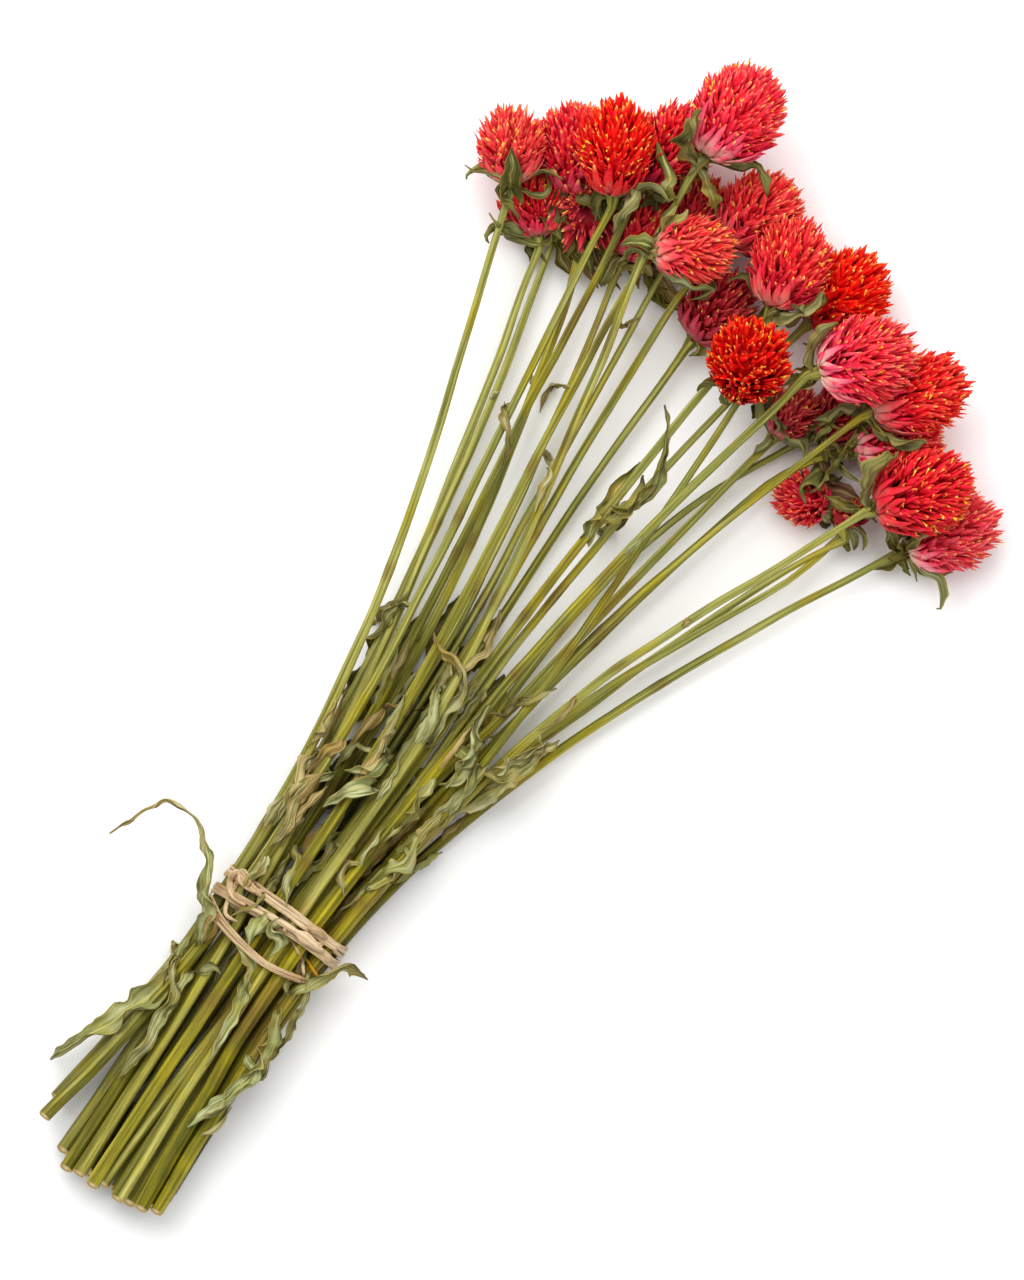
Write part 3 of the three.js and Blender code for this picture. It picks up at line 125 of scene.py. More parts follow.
# Leaves and shreds that only the finer model has: pixels along the middle from the root, its width, its
# greenness and its brownness
SHREDS = [
    # on the stems above the tie
    ([(489, 705), (478, 724), (471, 747), (459, 768), (446, 788)], 3.6, 0.2, 0.0),
    ([(438, 678), (436, 704), (430, 728), (423, 744)], 3.2, 0.1, 0.0),
    ([(519, 768), (498, 786), (478, 800), (452, 815)], 5.4, 0.0, 0.25),
    ([(548, 748), (530, 755), (512, 766), (492, 768)], 3.4, 0.0, 0.35),
    ([(365, 743), (352, 748), (342, 760), (334, 770)], 3.2, 0.2, 0.1),
    ([(346, 741), (328, 752), (313, 766), (303, 782)], 3.4, 0.0, 0.8),
    ([(322, 748), (306, 762), (300, 780), (287, 804)], 3.0, 0.1, 0.6),
    ([(387, 700), (377, 716), (360, 736), (350, 748)], 3.0, 0.0, 0.9),
    ([(397, 726), (388, 738), (383, 752)], 2.2, 0.3, 0.1),
    ([(362, 862), (346, 863), (341, 878), (345, 896)], 2.6, 0.0, 0.5),
    ([(292, 843), (296, 862), (288, 884), (286, 906)], 2.8, 0.3, 0.2),
    ([(338, 838), (324, 857), (306, 875), (295, 886)], 3.8, 0.2, 0.0),
    ([(404, 846), (408, 858), (408, 872), (399, 880), (388, 886)], 2.4, 0.5, 0.1),
    ([(420, 832), (403, 861), (380, 872), (362, 892), (342, 911)], 4.2, 0.2, 0.0),
    ([(574, 693), (569, 708), (556, 721), (538, 730)], 1.6, 0.2, 0.7),
    ([(403, 598), (384, 622), (371, 640), (366, 656)], 3.6, 0.6, 0.1),
    ([(374, 628), (383, 612), (398, 604), (408, 592)], 2.6, 0.5, 0.2),
    ([(268, 856), (258, 868), (247, 880), (242, 892)], 3.6, 0.1, 0.1),
    ([(462, 672), (482, 655), (492, 634), (500, 610)], 3.2, 0.0, 0.6),
    ([(478, 760), (468, 785), (455, 806), (448, 818)], 3.4, 0.2, 0.1),
    ([(436, 778), (420, 800), (404, 822), (384, 842)], 3.2, 0.1, 0.1),
    ([(338, 700), (322, 728), (308, 748)], 2.8, 0.2, 0.5),
    ([(312, 776), (296, 800), (284, 828), (268, 850)], 3.2, 0.0, 0.4),
    ([(498, 720), (516, 706), (536, 700), (556, 688)], 2.6, 0.2, 0.3),
    ([(508, 398), (504, 420), (508, 444), (500, 470)], 2.4, 0.0, 0.5),
    ([(558, 378), (546, 392), (540, 412)], 2.0, 0.0, 0.5),
    ([(545, 452), (552, 470), (542, 496), (535, 512)], 3.0, 0.2, 0.3),
    ([(604, 522), (624, 512), (640, 498), (656, 484)], 4.2, 0.7, 0.1),
    ([(596, 536), (612, 520), (630, 500), (644, 476)], 4.2, 0.8, 0.1),
    # round the tie and below it
    ([(294, 850), (276, 876), (260, 901), (230, 918)], 2.6, 0.5, 0.3),
    ([(272, 912), (262, 922), (254, 934), (248, 948)], 5.0, 0.1, 0.0),
    ([(284, 920), (270, 928), (276, 940), (270, 956)], 3.6, 0.1, 0.0),
    ([(238, 942), (246, 958), (249, 976), (240, 1000)], 5.0, 0.0, 0.0),
    ([(196, 976), (204, 968), (214, 968), (221, 974)], 3.0, 0.0, 0.1),
    ([(288, 996), (284, 984), (292, 974), (304, 984)], 3.0, 0.5, 0.1),
    ([(307, 972), (306, 996), (290, 1030), (266, 1062), (250, 1082)], 2.2, 0.1, 0.3),
    ([(244, 1052), (252, 1074), (230, 1096), (204, 1116), (188, 1127)], 4.6, 0.1, 0.0),
    ([(198, 1134), (212, 1130), (222, 1120), (232, 1108)], 1.8, 0.3, 0.3),
    ([(181, 955), (173, 972), (176, 996), (163, 1016)], 2.6, 0.2, 0.2),
    # a kinked end, and a curl at the root of the leaf at the left
    ([(180, 940), (173, 947), (176, 960), (168, 972), (162, 985)], 2.4, 0.3, 0.3),
    ([(202, 946), (213, 930), (215, 915), (208, 926), (204, 940)], 1.8, 0.4, 1.0),
    # by the heads at the left
    ([(506, 188), (498, 176), (482, 174), (465, 167)], 2.0, 0.7, 0.2),
    ([(512, 196), (500, 198), (508, 206), (519, 222)], 2.6, 0.9, 0.1),
    ([(518, 186), (534, 196), (546, 192), (548, 174)], 2.0, 0.8, 0.1),
    ([(545, 246), (520, 240), (500, 231), (489, 214)], 2.6, 0.9, 0.1),
    ([(644, 186), (632, 200), (620, 214), (612, 232)], 4.2, 0.6, 0.2),
    ([(662, 196), (670, 180), (664, 160), (656, 140)], 3.8, 0.7, 0.0),
    ([(650, 262), (638, 250), (626, 254), (618, 264)], 2.4, 0.7, 0.1),
    ([(652, 252), (660, 232), (668, 218), (679, 206)], 2.8, 0.6, 0.0),
    ([(622, 330), (630, 320), (640, 316)], 1.6, 0.4, 0.4),
    ([(700, 170), (708, 186), (712, 200), (717, 214)], 3.2, 0.8, 0.1),
    # by the heads at the right
    ([(864, 424), (850, 440), (842, 453), (826, 478), (810, 493)], 3.2, 0.5, 0.1),
    ([(843, 460), (861, 452), (875, 448)], 2.6, 0.6, 0.0),
    ([(836, 458), (845, 469), (852, 478), (863, 485)], 2.2, 0.6, 0.1),
    ([(836, 418), (823, 434), (812, 446)], 2.6, 0.4, 0.1),
    ([(830, 460), (814, 474), (800, 488), (806, 504)], 4.8, 0.9, 0.0),
    ([(790, 440), (810, 432), (834, 412), (850, 408)], 4.2, 0.8, 0.2),
    ([(862, 508), (842, 508), (824, 496)], 3.6, 1.0, 0.2),
    ([(870, 418), (882, 433), (893, 445)], 1.8, 0.6, 0.1),
    ([(901, 550), (890, 533), (878, 516)], 5.2, 1.0, 0.2),
    ([(902, 552), (918, 540), (934, 533)], 4.2, 1.0, 0.2),
    ([(899, 554), (905, 564), (909, 575)], 2.4, 0.8, 0.1),
    ([(907, 554), (913, 567), (917, 581)], 1.6, 0.7, 0.0),
    ([(908, 553), (923, 565), (938, 574), (954, 572)], 3.6, 1.0, 0.1),
    ([(790, 322), (776, 312), (764, 318)], 3.6, 0.7, 0.1),
    ([(808, 316), (794, 310), (786, 300)], 3.6, 0.8, 0.1),
    ([(720, 282), (706, 296), (690, 300)], 3.0, 0.9, 0.2),
]

# Leaves and faded petals low among the stems, darkened with painted shade, and dark strips that are
# painted
# shade between the stems: pixels along the middle from the root, width, height over the surface,
# greenness, brownness, and how much it is a faded petal
LOW_PIECES_AND_SHADE_STRIPS = [
    ([(515, 190), (517, 204), (513, 218), (509, 227)], 3.8, 9, 0.7, 0.1, 0.0),
    ([(566, 205), (556, 216), (548, 228), (541, 236)], 3.4, 12, 0.6, 0.1, 0.0),
    ([(542, 203), (539, 212), (544, 224)], 4.0, 13, 1.0, 0.0, 0.0),
    ([(580, 200), (592, 206), (604, 214)], 4.0, 18, 0.5, 0.2, 0.0),
    ([(612, 204), (607, 214), (603, 226)], 3.4, 17, 0.3, 0.1, 0.0),
    ([(664, 190), (657, 202), (660, 214)], 4.0, 15, 0.7, 0.1, 0.0),
    ([(571, 218), (574, 236), (578, 252), (587, 270)], 4.6, 8, 1.0, 0.0, 0.0),
    ([(578, 232), (584, 252), (592, 274)], 5.0, 9, 1.0, 0.0, 0.0),
    ([(590, 236), (594, 256), (604, 274)], 5.5, 7, 0.5, 0.0, 0.6),
    ([(606, 240), (610, 262), (604, 286)], 4.6, 8, 0.9, 0.0, 0.0),
    ([(622, 236), (616, 258), (620, 276)], 5.0, 7, 1.0, 0.0, 0.0),
    ([(560, 226), (566, 244), (576, 262)], 4.6, 6, 1.0, 0.0, 0.0),
    ([(566, 228), (571, 244), (568, 257)], 3.0, 11, 0.7, 0.0, 0.0),
    ([(580, 216), (584, 236), (585, 262)], 6.5, 6, 0.0, 0.0, 1.0),
    ([(592, 214), (596, 236), (590, 256)], 6.0, 7, 0.2, 0.0, 0.9),
    ([(604, 222), (600, 240), (606, 262)], 5.0, 5, 1.0, 0.1, 0.2),
    ([(612, 240), (618, 254), (629, 259)], 2.6, 8, 0.2, 0.3, 0.9),
    ([(622, 212), (626, 232), (620, 250)], 5.0, 9, 0.9, 0.0, 0.0),
    ([(632, 246), (640, 238), (648, 236)], 4.0, 8, 1.0, 0.0, 0.0),
    ([(606, 256), (613, 266), (620, 262)], 4.0, 5, 1.0, 0.1, 0.0),
    ([(644, 256), (648, 268), (652, 279)], 4.4, 6, 0.4, 0.1, 0.8),
    ([(652, 272), (656, 290), (666, 308)], 5.0, 5, 1.0, 0.1, 0.0),
    ([(662, 280), (673, 296), (686, 314)], 4.6, 7, 0.3, 0.3, 0.3),
    ([(674, 300), (690, 312), (706, 326)], 4.6, 4, 1.0, 0.1, 0.0),
    ([(700, 318), (712, 330), (730, 340)], 5.0, 5, 0.8, 0.0, 0.0),
    ([(716, 330), (728, 344), (724, 360)], 5.0, 5, 1.0, 0.0, 0.3),
    ([(748, 390), (760, 404), (752, 418)], 4.6, 8, 0.9, 0.1, 0.0),
    ([(778, 402), (772, 416), (777, 433)], 5.2, 8, 0.7, 0.1, 0.0),
    ([(782, 408), (788, 424), (792, 437)], 3.6, 9, 0.5, 0.1, 0.0),
    ([(800, 398), (812, 408), (826, 410)], 5.5, 6, 1.0, 0.0, 0.2),
    ([(826, 486), (842, 491), (862, 499)], 6.0, 6, 0.2, 0.0, 0.7),
    ([(866, 508), (846, 507), (825, 499)], 6.0, 4, 1.0, 0.1, 0.0),
    ([(868, 420), (880, 428), (892, 440)], 4.6, 9, 0.2, 0.0, 0.9),
    # dark strips of painted shade, low between the stems above the tie
    ([(310, 812), (326, 786), (342, 758)], 8.0, 2.5, 1.0, 0.1, 0.0),
    ([(328, 800), (346, 768), (362, 738)], 8.0, 2.5, 1.0, 0.0, 0.0),
    ([(360, 786), (376, 758), (394, 728)], 8.0, 2.5, 0.9, 0.2, 0.0),
    ([(380, 818), (398, 788), (416, 760)], 8.0, 2.5, 1.0, 0.1, 0.0),
    ([(380, 712), (396, 684), (410, 656)], 7.5, 2.5, 1.0, 0.1, 0.0),
    ([(398, 752), (416, 724), (434, 696)], 8.0, 2.5, 1.0, 0.0, 0.0),
    ([(424, 704), (440, 678), (456, 652)], 7.5, 2.5, 0.9, 0.1, 0.0),
    ([(442, 776), (460, 746), (480, 720)], 8.0, 2.5, 1.0, 0.1, 0.0),
    ([(350, 712), (364, 684), (378, 656)], 7.5, 2.5, 1.0, 0.1, 0.0),
    ([(414, 804), (432, 776), (452, 750)], 8.0, 2.5, 0.9, 0.1, 0.0),
    ([(466, 722), (484, 698), (504, 674)], 7.5, 2.5, 1.0, 0.1, 0.0),
    ([(344, 836), (360, 810), (376, 786)], 8.0, 2.5, 1.0, 0.1, 0.0),
    ([(300, 880), (316, 850), (334, 822)], 8.0, 2.5, 1.0, 0.1, 0.0),
    ([(330, 880), (348, 852), (366, 826)], 8.0, 2.5, 1.0, 0.1, 0.0),
    ([(396, 672), (408, 644), (420, 616)], 6.5, 2.5, 1.0, 0.1, 0.0),
    ([(436, 648), (450, 620), (464, 592)], 6.5, 2.5, 0.9, 0.1, 0.0),
    ([(462, 668), (480, 642), (498, 616)], 6.5, 2.5, 1.0, 0.2, 0.0),
    # dark clutter under the first heads: dry leaves and faded petals, made dark as painted shade
    ([(556, 232), (560, 252), (572, 276)], 4.0, 6, 1.0, 0.2, 0.1),
    ([(586, 246), (588, 266), (598, 288)], 4.0, 6, 0.4, 0.0, 0.7),
    ([(534, 226), (536, 244), (546, 262)], 3.4, 6, 0.9, 0.3, 0.0),
    ([(600, 248), (612, 270), (618, 290)], 4.0, 6, 1.0, 0.1, 0.0),
    ([(636, 250), (634, 270), (640, 288)], 4.0, 5, 0.6, 0.2, 0.5),
    ([(546, 210), (554, 226), (562, 240)], 4.6, 14, 0.8, 0.0, 0.0),
    ([(600, 196), (598, 214), (606, 230)], 4.2, 19, 0.8, 0.0, 0.0),
]

# Which kind of flower each head is
TINTS = {
    "scarlet": "bklp",
    "red": "ahijn",
    "pink": "dmoqrv",
    "crimson": "ceg",
    "dusky": "fstuwx",
}


# Colours and places

def colour(code):
    """A #rrggbb colour as linear red, green, blue and alpha."""
    parts = [int(code[i:i + 2], 16) / 255 for i in (1, 3, 5)]
    return [c / 12.92 if c <= 0.04045 else ((c + 0.055) / 1.055) ** 2.4 for c in parts] + [1]


def place(pixel):
    """The place in plan of a pixel of the photograph, which looks straight down."""
    right = (pixel[0] - ORIGIN_IN_PHOTO[0]) * MM_PER_PIXEL
    up = (ORIGIN_IN_PHOTO[1] - pixel[1]) * MM_PER_PIXEL
    cos, sin = math.cos(BUNCH_LEAN), math.sin(BUNCH_LEAN)
    return np.array([right * cos - up * sin, right * sin + up * cos])


def unit(vectors):
    """Each vector at length 1."""
    vectors = np.asarray(vectors, float)
    return vectors / np.maximum(np.linalg.norm(vectors, axis=-1, keepdims=True), SLACK)


def dot(first, second):
    """The product of each pair of vectors, as a column."""
    return (first * second).sum(-1, keepdims=True)


def turned(first, second, angles):
    """Two directions across a line, turned about it."""
    cos, sin = np.cos(angles)[:, None], np.sin(angles)[:, None]
    return first * cos + second * sin, second * cos - first * sin


# Materials

class Paint:
    """A material and its shader tree, with the few kinds of node that the looks below are made of."""

    def __init__(self, name, **constants):
        """A new material, with the shader's constants set on its own sockets."""
        self.material = bpy.data.materials.new(name)
        self.material.use_nodes = True
        self.tree = self.material.node_tree
        self.shader = self.tree.nodes["Principled BSDF"]
        for socket, value in constants.items():
            self.fill(self.shader.inputs[socket.replace("_", " ")], value)

    def fill(self, socket, value):
        """Sets a socket to a number or to a #rrggbb colour, or links it to an output."""
        if isinstance(value, bpy.types.NodeSocket):
            self.tree.links.new(value, socket)
        else:
            socket.default_value = colour(value) if isinstance(value, str) else value

    def add(self, kind, inputs, **settings):
        """A node with its settings and its inputs, which are given by name or by number."""
        node = self.tree.nodes.new(f"ShaderNode{kind}")
        for name, value in settings.items():
            setattr(node, name, value)
        for name, value in inputs.items():
            self.fill(node.inputs[name], value)
        return node

    def value(self, name, output="Fac"):
        """One of the values that the mesh holds at each of its points."""
        return self.add("Attribute", {}, attribute_name=name).outputs[output]

    def place(self):
        """The place on the object, in metres."""
        return self.add("TexCoord", {}).outputs["Object"]

    def noise(self, vector, scale, detail=3.0, roughness=0.55):
        inputs = {"Vector": vector, "Scale": scale, "Detail": detail, "Roughness": roughness}
        return self.add("TexNoise", inputs).outputs["Fac"]

    def ramp(self, factor, *stops):
        """A colour, or a number, that runs through (position, value) stops."""
        node = self.add("ValToRGB", {"Fac": factor})
        elements = node.color_ramp.elements
        while len(elements) < len(stops):
            elements.new(0.5)
        for element, (position, value) in zip(elements, stops):
            element.position = position
            element.color = colour(value) if isinstance(value, str) else [value, value, value, 1]
        return node.outputs["Color"]

    def calculate(self, operation, *numbers):
        return self.add("Math", dict(enumerate(numbers)), operation=operation).outputs[0]

    def mix(self, factor, first, second, blend="MIX"):
        """A colour between two colours, by a factor."""
        node = self.add("Mix", {}, data_type="RGBA", blend_type=blend, clamp_factor=True)
        for socket, value in ((0, factor), (6, first), (7, second)):
            self.fill(node.inputs[socket], value)
        return node.outputs[2]

    def layers(self, base, *layers):
        """A colour with others laid over it.

        A layer is the value that it follows, two (value, strength) stops, its colour, and sometimes a
        factor for its strength.
        """
        for value, start, end, over, *factor in layers:
            strength = self.ramp(value, start, end)
            for more in factor:
                strength = self.calculate("MULTIPLY", strength, more)
            base = self.mix(strength, base, over)
        return base

    def finish(self, base, roughness, height, bump_distance, bump_strength=0.6):
        """Links colour, roughness and bump to the shader, and gives the material."""
        inputs = {"Height": height, "Strength": bump_strength, "Distance": bump_distance}
        normal = self.add("Bump", inputs).outputs["Normal"]
        sockets = {"Base Color": base, "Roughness": roughness, "Normal": normal}
        for name, output in sockets.items():
            self.fill(self.shader.inputs[name], output)
        return self.material


PETAL_COLOURS = {
    # at the neck, deep red (painted shade between the bractlets, and dark blotches and bractlets at
    # random), on the lower side, on the upper side, at the tips, and the light streaks
    "scarlet": ("#f2bca4", "#a80408", "#da1030", "#fe1a02", "#ff7a20", "#ff4c34"),
    "red": ("#f8d0ba", "#aa041e", "#e4124a", "#fe2820", "#ff985c", "#ff7870"),
    "pink": ("#fadcc6", "#b60636", "#f21856", "#fe2e42", "#ffa070", "#ff8a9a"),
    "crimson": ("#ecc0ac", "#980424", "#d01040", "#f0222c", "#ff8a50", "#f8627e"),
    "dusky": ("#dcb0a0", "#860820", "#be1c3a", "#d6303e", "#ee8e60", "#de7082"),
}
BLUSH = "#e21c58"
PALE_STREAK = "#ff9c90"
GOLDEN_TIP = "#ffc468"

# How pink, how pale and how creamy at its neck each head is, beside the others of its kind
HEAD_LOOKS = {
    "a": (0.3, 0.6, 0.9), "b": (0.2, 0.0, 0.4), "c": (0.2, 0.0, 0.2), "d": (0.0, 0.1, 0.7),
    "f": (0.0, 0.3, 0.8), "g": (0.2, 0.1, 0.3), "h": (0.5, 0.4, 0.2), "i": (0.25, 0.7, 0.7),
    "j": (0.45, 0.15, 0.7), "k": (0.1, 0.0, 0.1), "l": (0.15, 0.05, 0.2), "m": (0.0, 0.2, 1.0),
    "n": (0.15, 0.0, 0.6), "o": (0.0, 0.25, 1.0), "p": (0.8, 0.1, 0.3), "q": (0.5, 0.6, 1.0),
    "r": (0.0, 0.5, 0.9), "s": (0.0, 0.4, 0.6),
}
PLAIN_LOOKS = (0.0, 0.1, 0.3)


def petal_material(tint):
    """Papery bractlets: creamy at the neck, saturated on the sides, orange at the tips, lightly streaked,
    darker with painted shade at their roots and edges.

    The values along, rise and tone hold the place along a bractlet, the bractlet's place from the base to
    the tip of its head, and a number of its own.
    """
    root, deep, low, high, tip, streak = PETAL_COLOURS[tint]
    paint = Paint(f"petals_{tint}", Specular_IOR_Level=0.22)
    along, rise, tone, across, blush, pale, cream = map(
        paint.value, ("along", "rise", "tone", "across", "blush", "pale", "cream"),
    )
    where = paint.place()
    lines = paint.noise(paint.value("grain", "Vector"), 2.4, 2.0)
    blotch = paint.noise(where, 380.0)
    fibre = paint.noise(where, 2600.0, 2.0)
    sides = paint.ramp(rise, (0.18, low), (0.6, high))
    lowest = paint.ramp(along, (0.0, root), (0.36, root), (0.72, streak), (1.0, low))
    base = paint.layers(
        paint.mix(paint.calculate("MULTIPLY", blush, 0.6), sides, BLUSH),
        (lines, (0.42, 0.0), (0.6, 0.8), PALE_STREAK, pale),
        (tone, (0.72, 0.0), (1.0, 0.45), streak),
        (lines, (0.54, 0.0), (0.7, 0.5), streak),
        # painted shade: darker at the bractlets' edges and backs and towards their roots, where they lie
        # between one another
        (across, (0.4, 0.2), (0.8, 0.0), deep),
        (along, (0.1, 0.9), (0.52, 0.0), deep),
        (tone, (0.05, 0.4), (0.32, 0.0), deep),
        (along, (0.84, 0.0), (1.0, 0.9), tip, paint.ramp(rise, (0.2, 0.2), (0.85, 0.6))),
        (along, (0.86, 0.0), (0.97, 1.0), GOLDEN_TIP, paint.ramp(tone, (0.8, 0.0), (0.86, 0.9))),
        (rise, (0.02, 1.0), (0.14, 0.0), lowest, cream),
        (blotch, (0.34, 0.3), (0.5, 0.0), deep),
    )
    roughness = paint.calculate("MULTIPLY_ADD", fibre, 0.3, 0.35)
    return paint.finish(base, roughness, paint.calculate("ADD", fibre, lines), 0.0003, 0.5)


def floret_material():
    """The small yellow star florets between the bractlets."""
    paint = Paint("star_florets", Specular_IOR_Level=0.2)
    speckle = paint.noise(paint.place(), 1800.0)
    base = paint.ramp(speckle, (0.32, "#f6a81c"), (0.5, "#ffd63c"), (0.68, "#fff0a0"))
    return paint.finish(base, paint.calculate("MULTIPLY_ADD", speckle, 0.2, 0.45), speckle, 0.0002)


PAINTED_SHADE_SCALE = 32.0  # times a height in metres: stems low in the bundle get painted shade, up to half of this, 16 mm


def stem_material():
    """Dry stems: painted highlights on the ridges, painted shade in the grooves and low in the bundle,
    yellow and brown patches, and pale pith at the cut ends.

    The values across, along and brown hold the place from a groove to a ridge, the place from the cut end
    to the head, and how brown a joint is there.
    """
    paint = Paint("dry_stem", Specular_IOR_Level=0.35)
    tone, brown, pith, across, along = map(paint.value, ("tone", "brown", "pith", "across", "along"))
    grain = paint.value("grain", "Vector")
    where = paint.place()
    streak = paint.noise(grain, 1.0, 4.0, 0.6)
    thin_streak = paint.noise(grain, 3.2, 2.0, 0.6)
    patch = paint.noise(where, 34.0, 3.0)
    old = paint.noise(where, 27.0, 2.0)
    olive, sage, light, yellow, dull = [paint.ramp(streak, *stops) for stops in (
        ((0.25, "#524e06"), (0.42, "#847e14"), (0.58, "#b0a428"), (0.78, "#dccd5c")),
        ((0.25, "#58561e"), (0.42, "#8c8938"), (0.6, "#b8b25c"), (0.8, "#dcd592")),
        ((0.25, "#5a5c22"), (0.43, "#8a8c42"), (0.6, "#b0b062"), (0.78, "#d4d292")),
        ((0.25, "#7a6e02"), (0.5, "#aa9c06"), (0.75, "#d2c22a")),
        ((0.25, "#4e3e14"), (0.5, "#806628"), (0.8, "#ab8c4c")),
    )]
    cut = paint.ramp(pith, (0.3, "#a88438"), (0.6, "#d2b878"), (1.0, "#e8dcaa"))
    base = paint.layers(
        olive,
        (tone, (0.4, 0.0), (0.8, 1.0), sage),
        (tone, (0.0, 0.75), (0.34, 0.0), "#4c5012"),
        (along, (0.45, 0.0), (0.75, 0.85), light),
        (patch, (0.5, 0.0), (0.62, 0.8), yellow),
        (old, (0.6, 0.0), (0.7, 0.65), dull),
    )
    base = paint.mix(paint.calculate("MULTIPLY", brown, 0.75), base, dull)
    height = paint.add("SeparateXYZ", {"Vector": where}).outputs["Z"]
    base = paint.layers(
        base,
        # painted shade in the grooves and a painted highlight on the ridges
        (across, (0.0, 0.5), (0.4, 0.0), "#3a3a08"),
        (across, (0.6, 0.0), (1.0, 0.35), "#cbc476"),
        (thin_streak, (0.32, 0.45), (0.45, 0.0), "#3c3c0a"),
        # painted shade: the lower part of each stem is darker where it lies low in the bundle, under 16
        # mm
        (
            paint.calculate("MULTIPLY", height, PAINTED_SHADE_SCALE), (0.05, 0.8), (0.5, 0.0), "#2a2a08",
            paint.ramp(along, (0.42, 1.0), (0.6, 0.0)),
        ),
        (pith, (0.05, 0.0), (0.3, 1.0), cut),
    )
    roughness = paint.calculate("MULTIPLY_ADD", thin_streak, 0.3, 0.32)
    return paint.finish(base, roughness, paint.calculate("ADD", streak, thin_streak), 0.0004, 0.7)


def leaf_material():
    """Dry leaves and bracts: veins, a yellow midrib, pale and brown patches, and brownish edges, one of
    them with a dark line of painted shade, and painted shade on pieces with a low tone.
    """
    paint = Paint("dry_leaf", Specular_IOR_Level=0.2)
    across, green, tone, brown, faded = map(paint.value, ("across", "green", "tone", "brown", "blush"))
    where = paint.place()
    vein = paint.noise(paint.value("grain", "Vector"), 1.5, 3.0, 0.6)
    patch = paint.noise(where, 120.0, 3.0)
    large_patch = paint.noise(where, 55.0, 2.0)
    old, fresh, dull, petal = [paint.ramp(vein, *stops) for stops in (
        ((0.25, "#50542a"), (0.42, "#8e945e"), (0.56, "#b8bb8e"), (0.76, "#e0e1be")),
        ((0.25, "#2c2f10"), (0.42, "#50552a"), (0.58, "#787c4a"), (0.8, "#a8ab7a")),
        ((0.25, "#5a4420"), (0.45, "#947648"), (0.6, "#ba9c68"), (0.8, "#d8c492")),
        ((0.25, "#4c2020"), (0.45, "#7c3c3a"), (0.6, "#a06460"), (0.8, "#c49a8c")),
    )]
    base = paint.mix(green, old, fresh)
    base = paint.layers(base, (large_patch, (0.48, 0.0), (0.64, 0.6), "#96913a"))
    base = paint.mix(faded, paint.mix(brown, base, dull), petal)
    edge = paint.calculate("ABSOLUTE", across)
    base = paint.layers(
        base,
        (patch, (0.58, 0.0), (0.74, 0.7), "#ab8a44"),
        (edge, (0.8, 0.0), (1.0, 0.6), "#b39a4e"),
        # painted shade: a dark line along one edge only
        (across, (0.9, 0.0), (0.97, 0.8), "#4a4220"),
        (edge, (0.0, 0.7), (0.14, 0.0), "#c8c07a"),
    )
    # darker for a low tone: random in most leaves, and painted shade on the low pieces among the stems,
    # whose tones are all low
    base = paint.mix(paint.ramp(tone, (0.0, 0.5), (0.6, 0.0)), base, "#6c6c3c", "MULTIPLY")
    roughness = paint.calculate("MULTIPLY_ADD", vein, 0.25, 0.5)
    return paint.finish(base, roughness, paint.calculate("ADD", vein, patch), 0.0005, 0.8)


def raffia_material():
    """Raffia: fine fibres along each strand, from cream to tan, with thin dark lines along the grain that
    are fibre streaks and painted shade for the folds.
    """
    paint = Paint("raffia_fibre", Specular_IOR_Level=0.3)
    tone, yellow = map(paint.value, ("tone", "brown"))
    grain = paint.value("grain", "Vector")
    fibre = paint.noise(grain, 1.5, 4.0, 0.65)
    thin = paint.noise(grain, 4.5, 2.0)
    patch = paint.noise(paint.place(), 110.0)
    base = paint.layers(
        paint.ramp(fibre, (0.25, "#a5825a"), (0.4, "#d2b085"), (0.55, "#ecd2aa"), (0.75, "#fcecd0")),
        (patch, (0.45, 0.0), (0.7, 0.5), "#ad8450"),
        # thin dark lines: fibre streaks, and painted shade standing in for the folds
        (thin, (0.3, 0.4), (0.42, 0.0), "#7c5830"),
        (tone, (0.4, 0.0), (1.0, 0.45), "#f2e0be"),
    )
    base = paint.mix(yellow, base, "#d8a02c")
    roughness = paint.calculate("MULTIPLY_ADD", thin, 0.25, 0.42)
    return paint.finish(base, roughness, paint.calculate("ADD", fibre, thin), 0.0005, 0.8)


# Meshes

def add_to_scene(name, data):
    """An object in the scene for a mesh, a light or a camera."""
    thing = bpy.data.objects.new(name, data)
    bpy.context.scene.collection.objects.link(thing)
    return thing


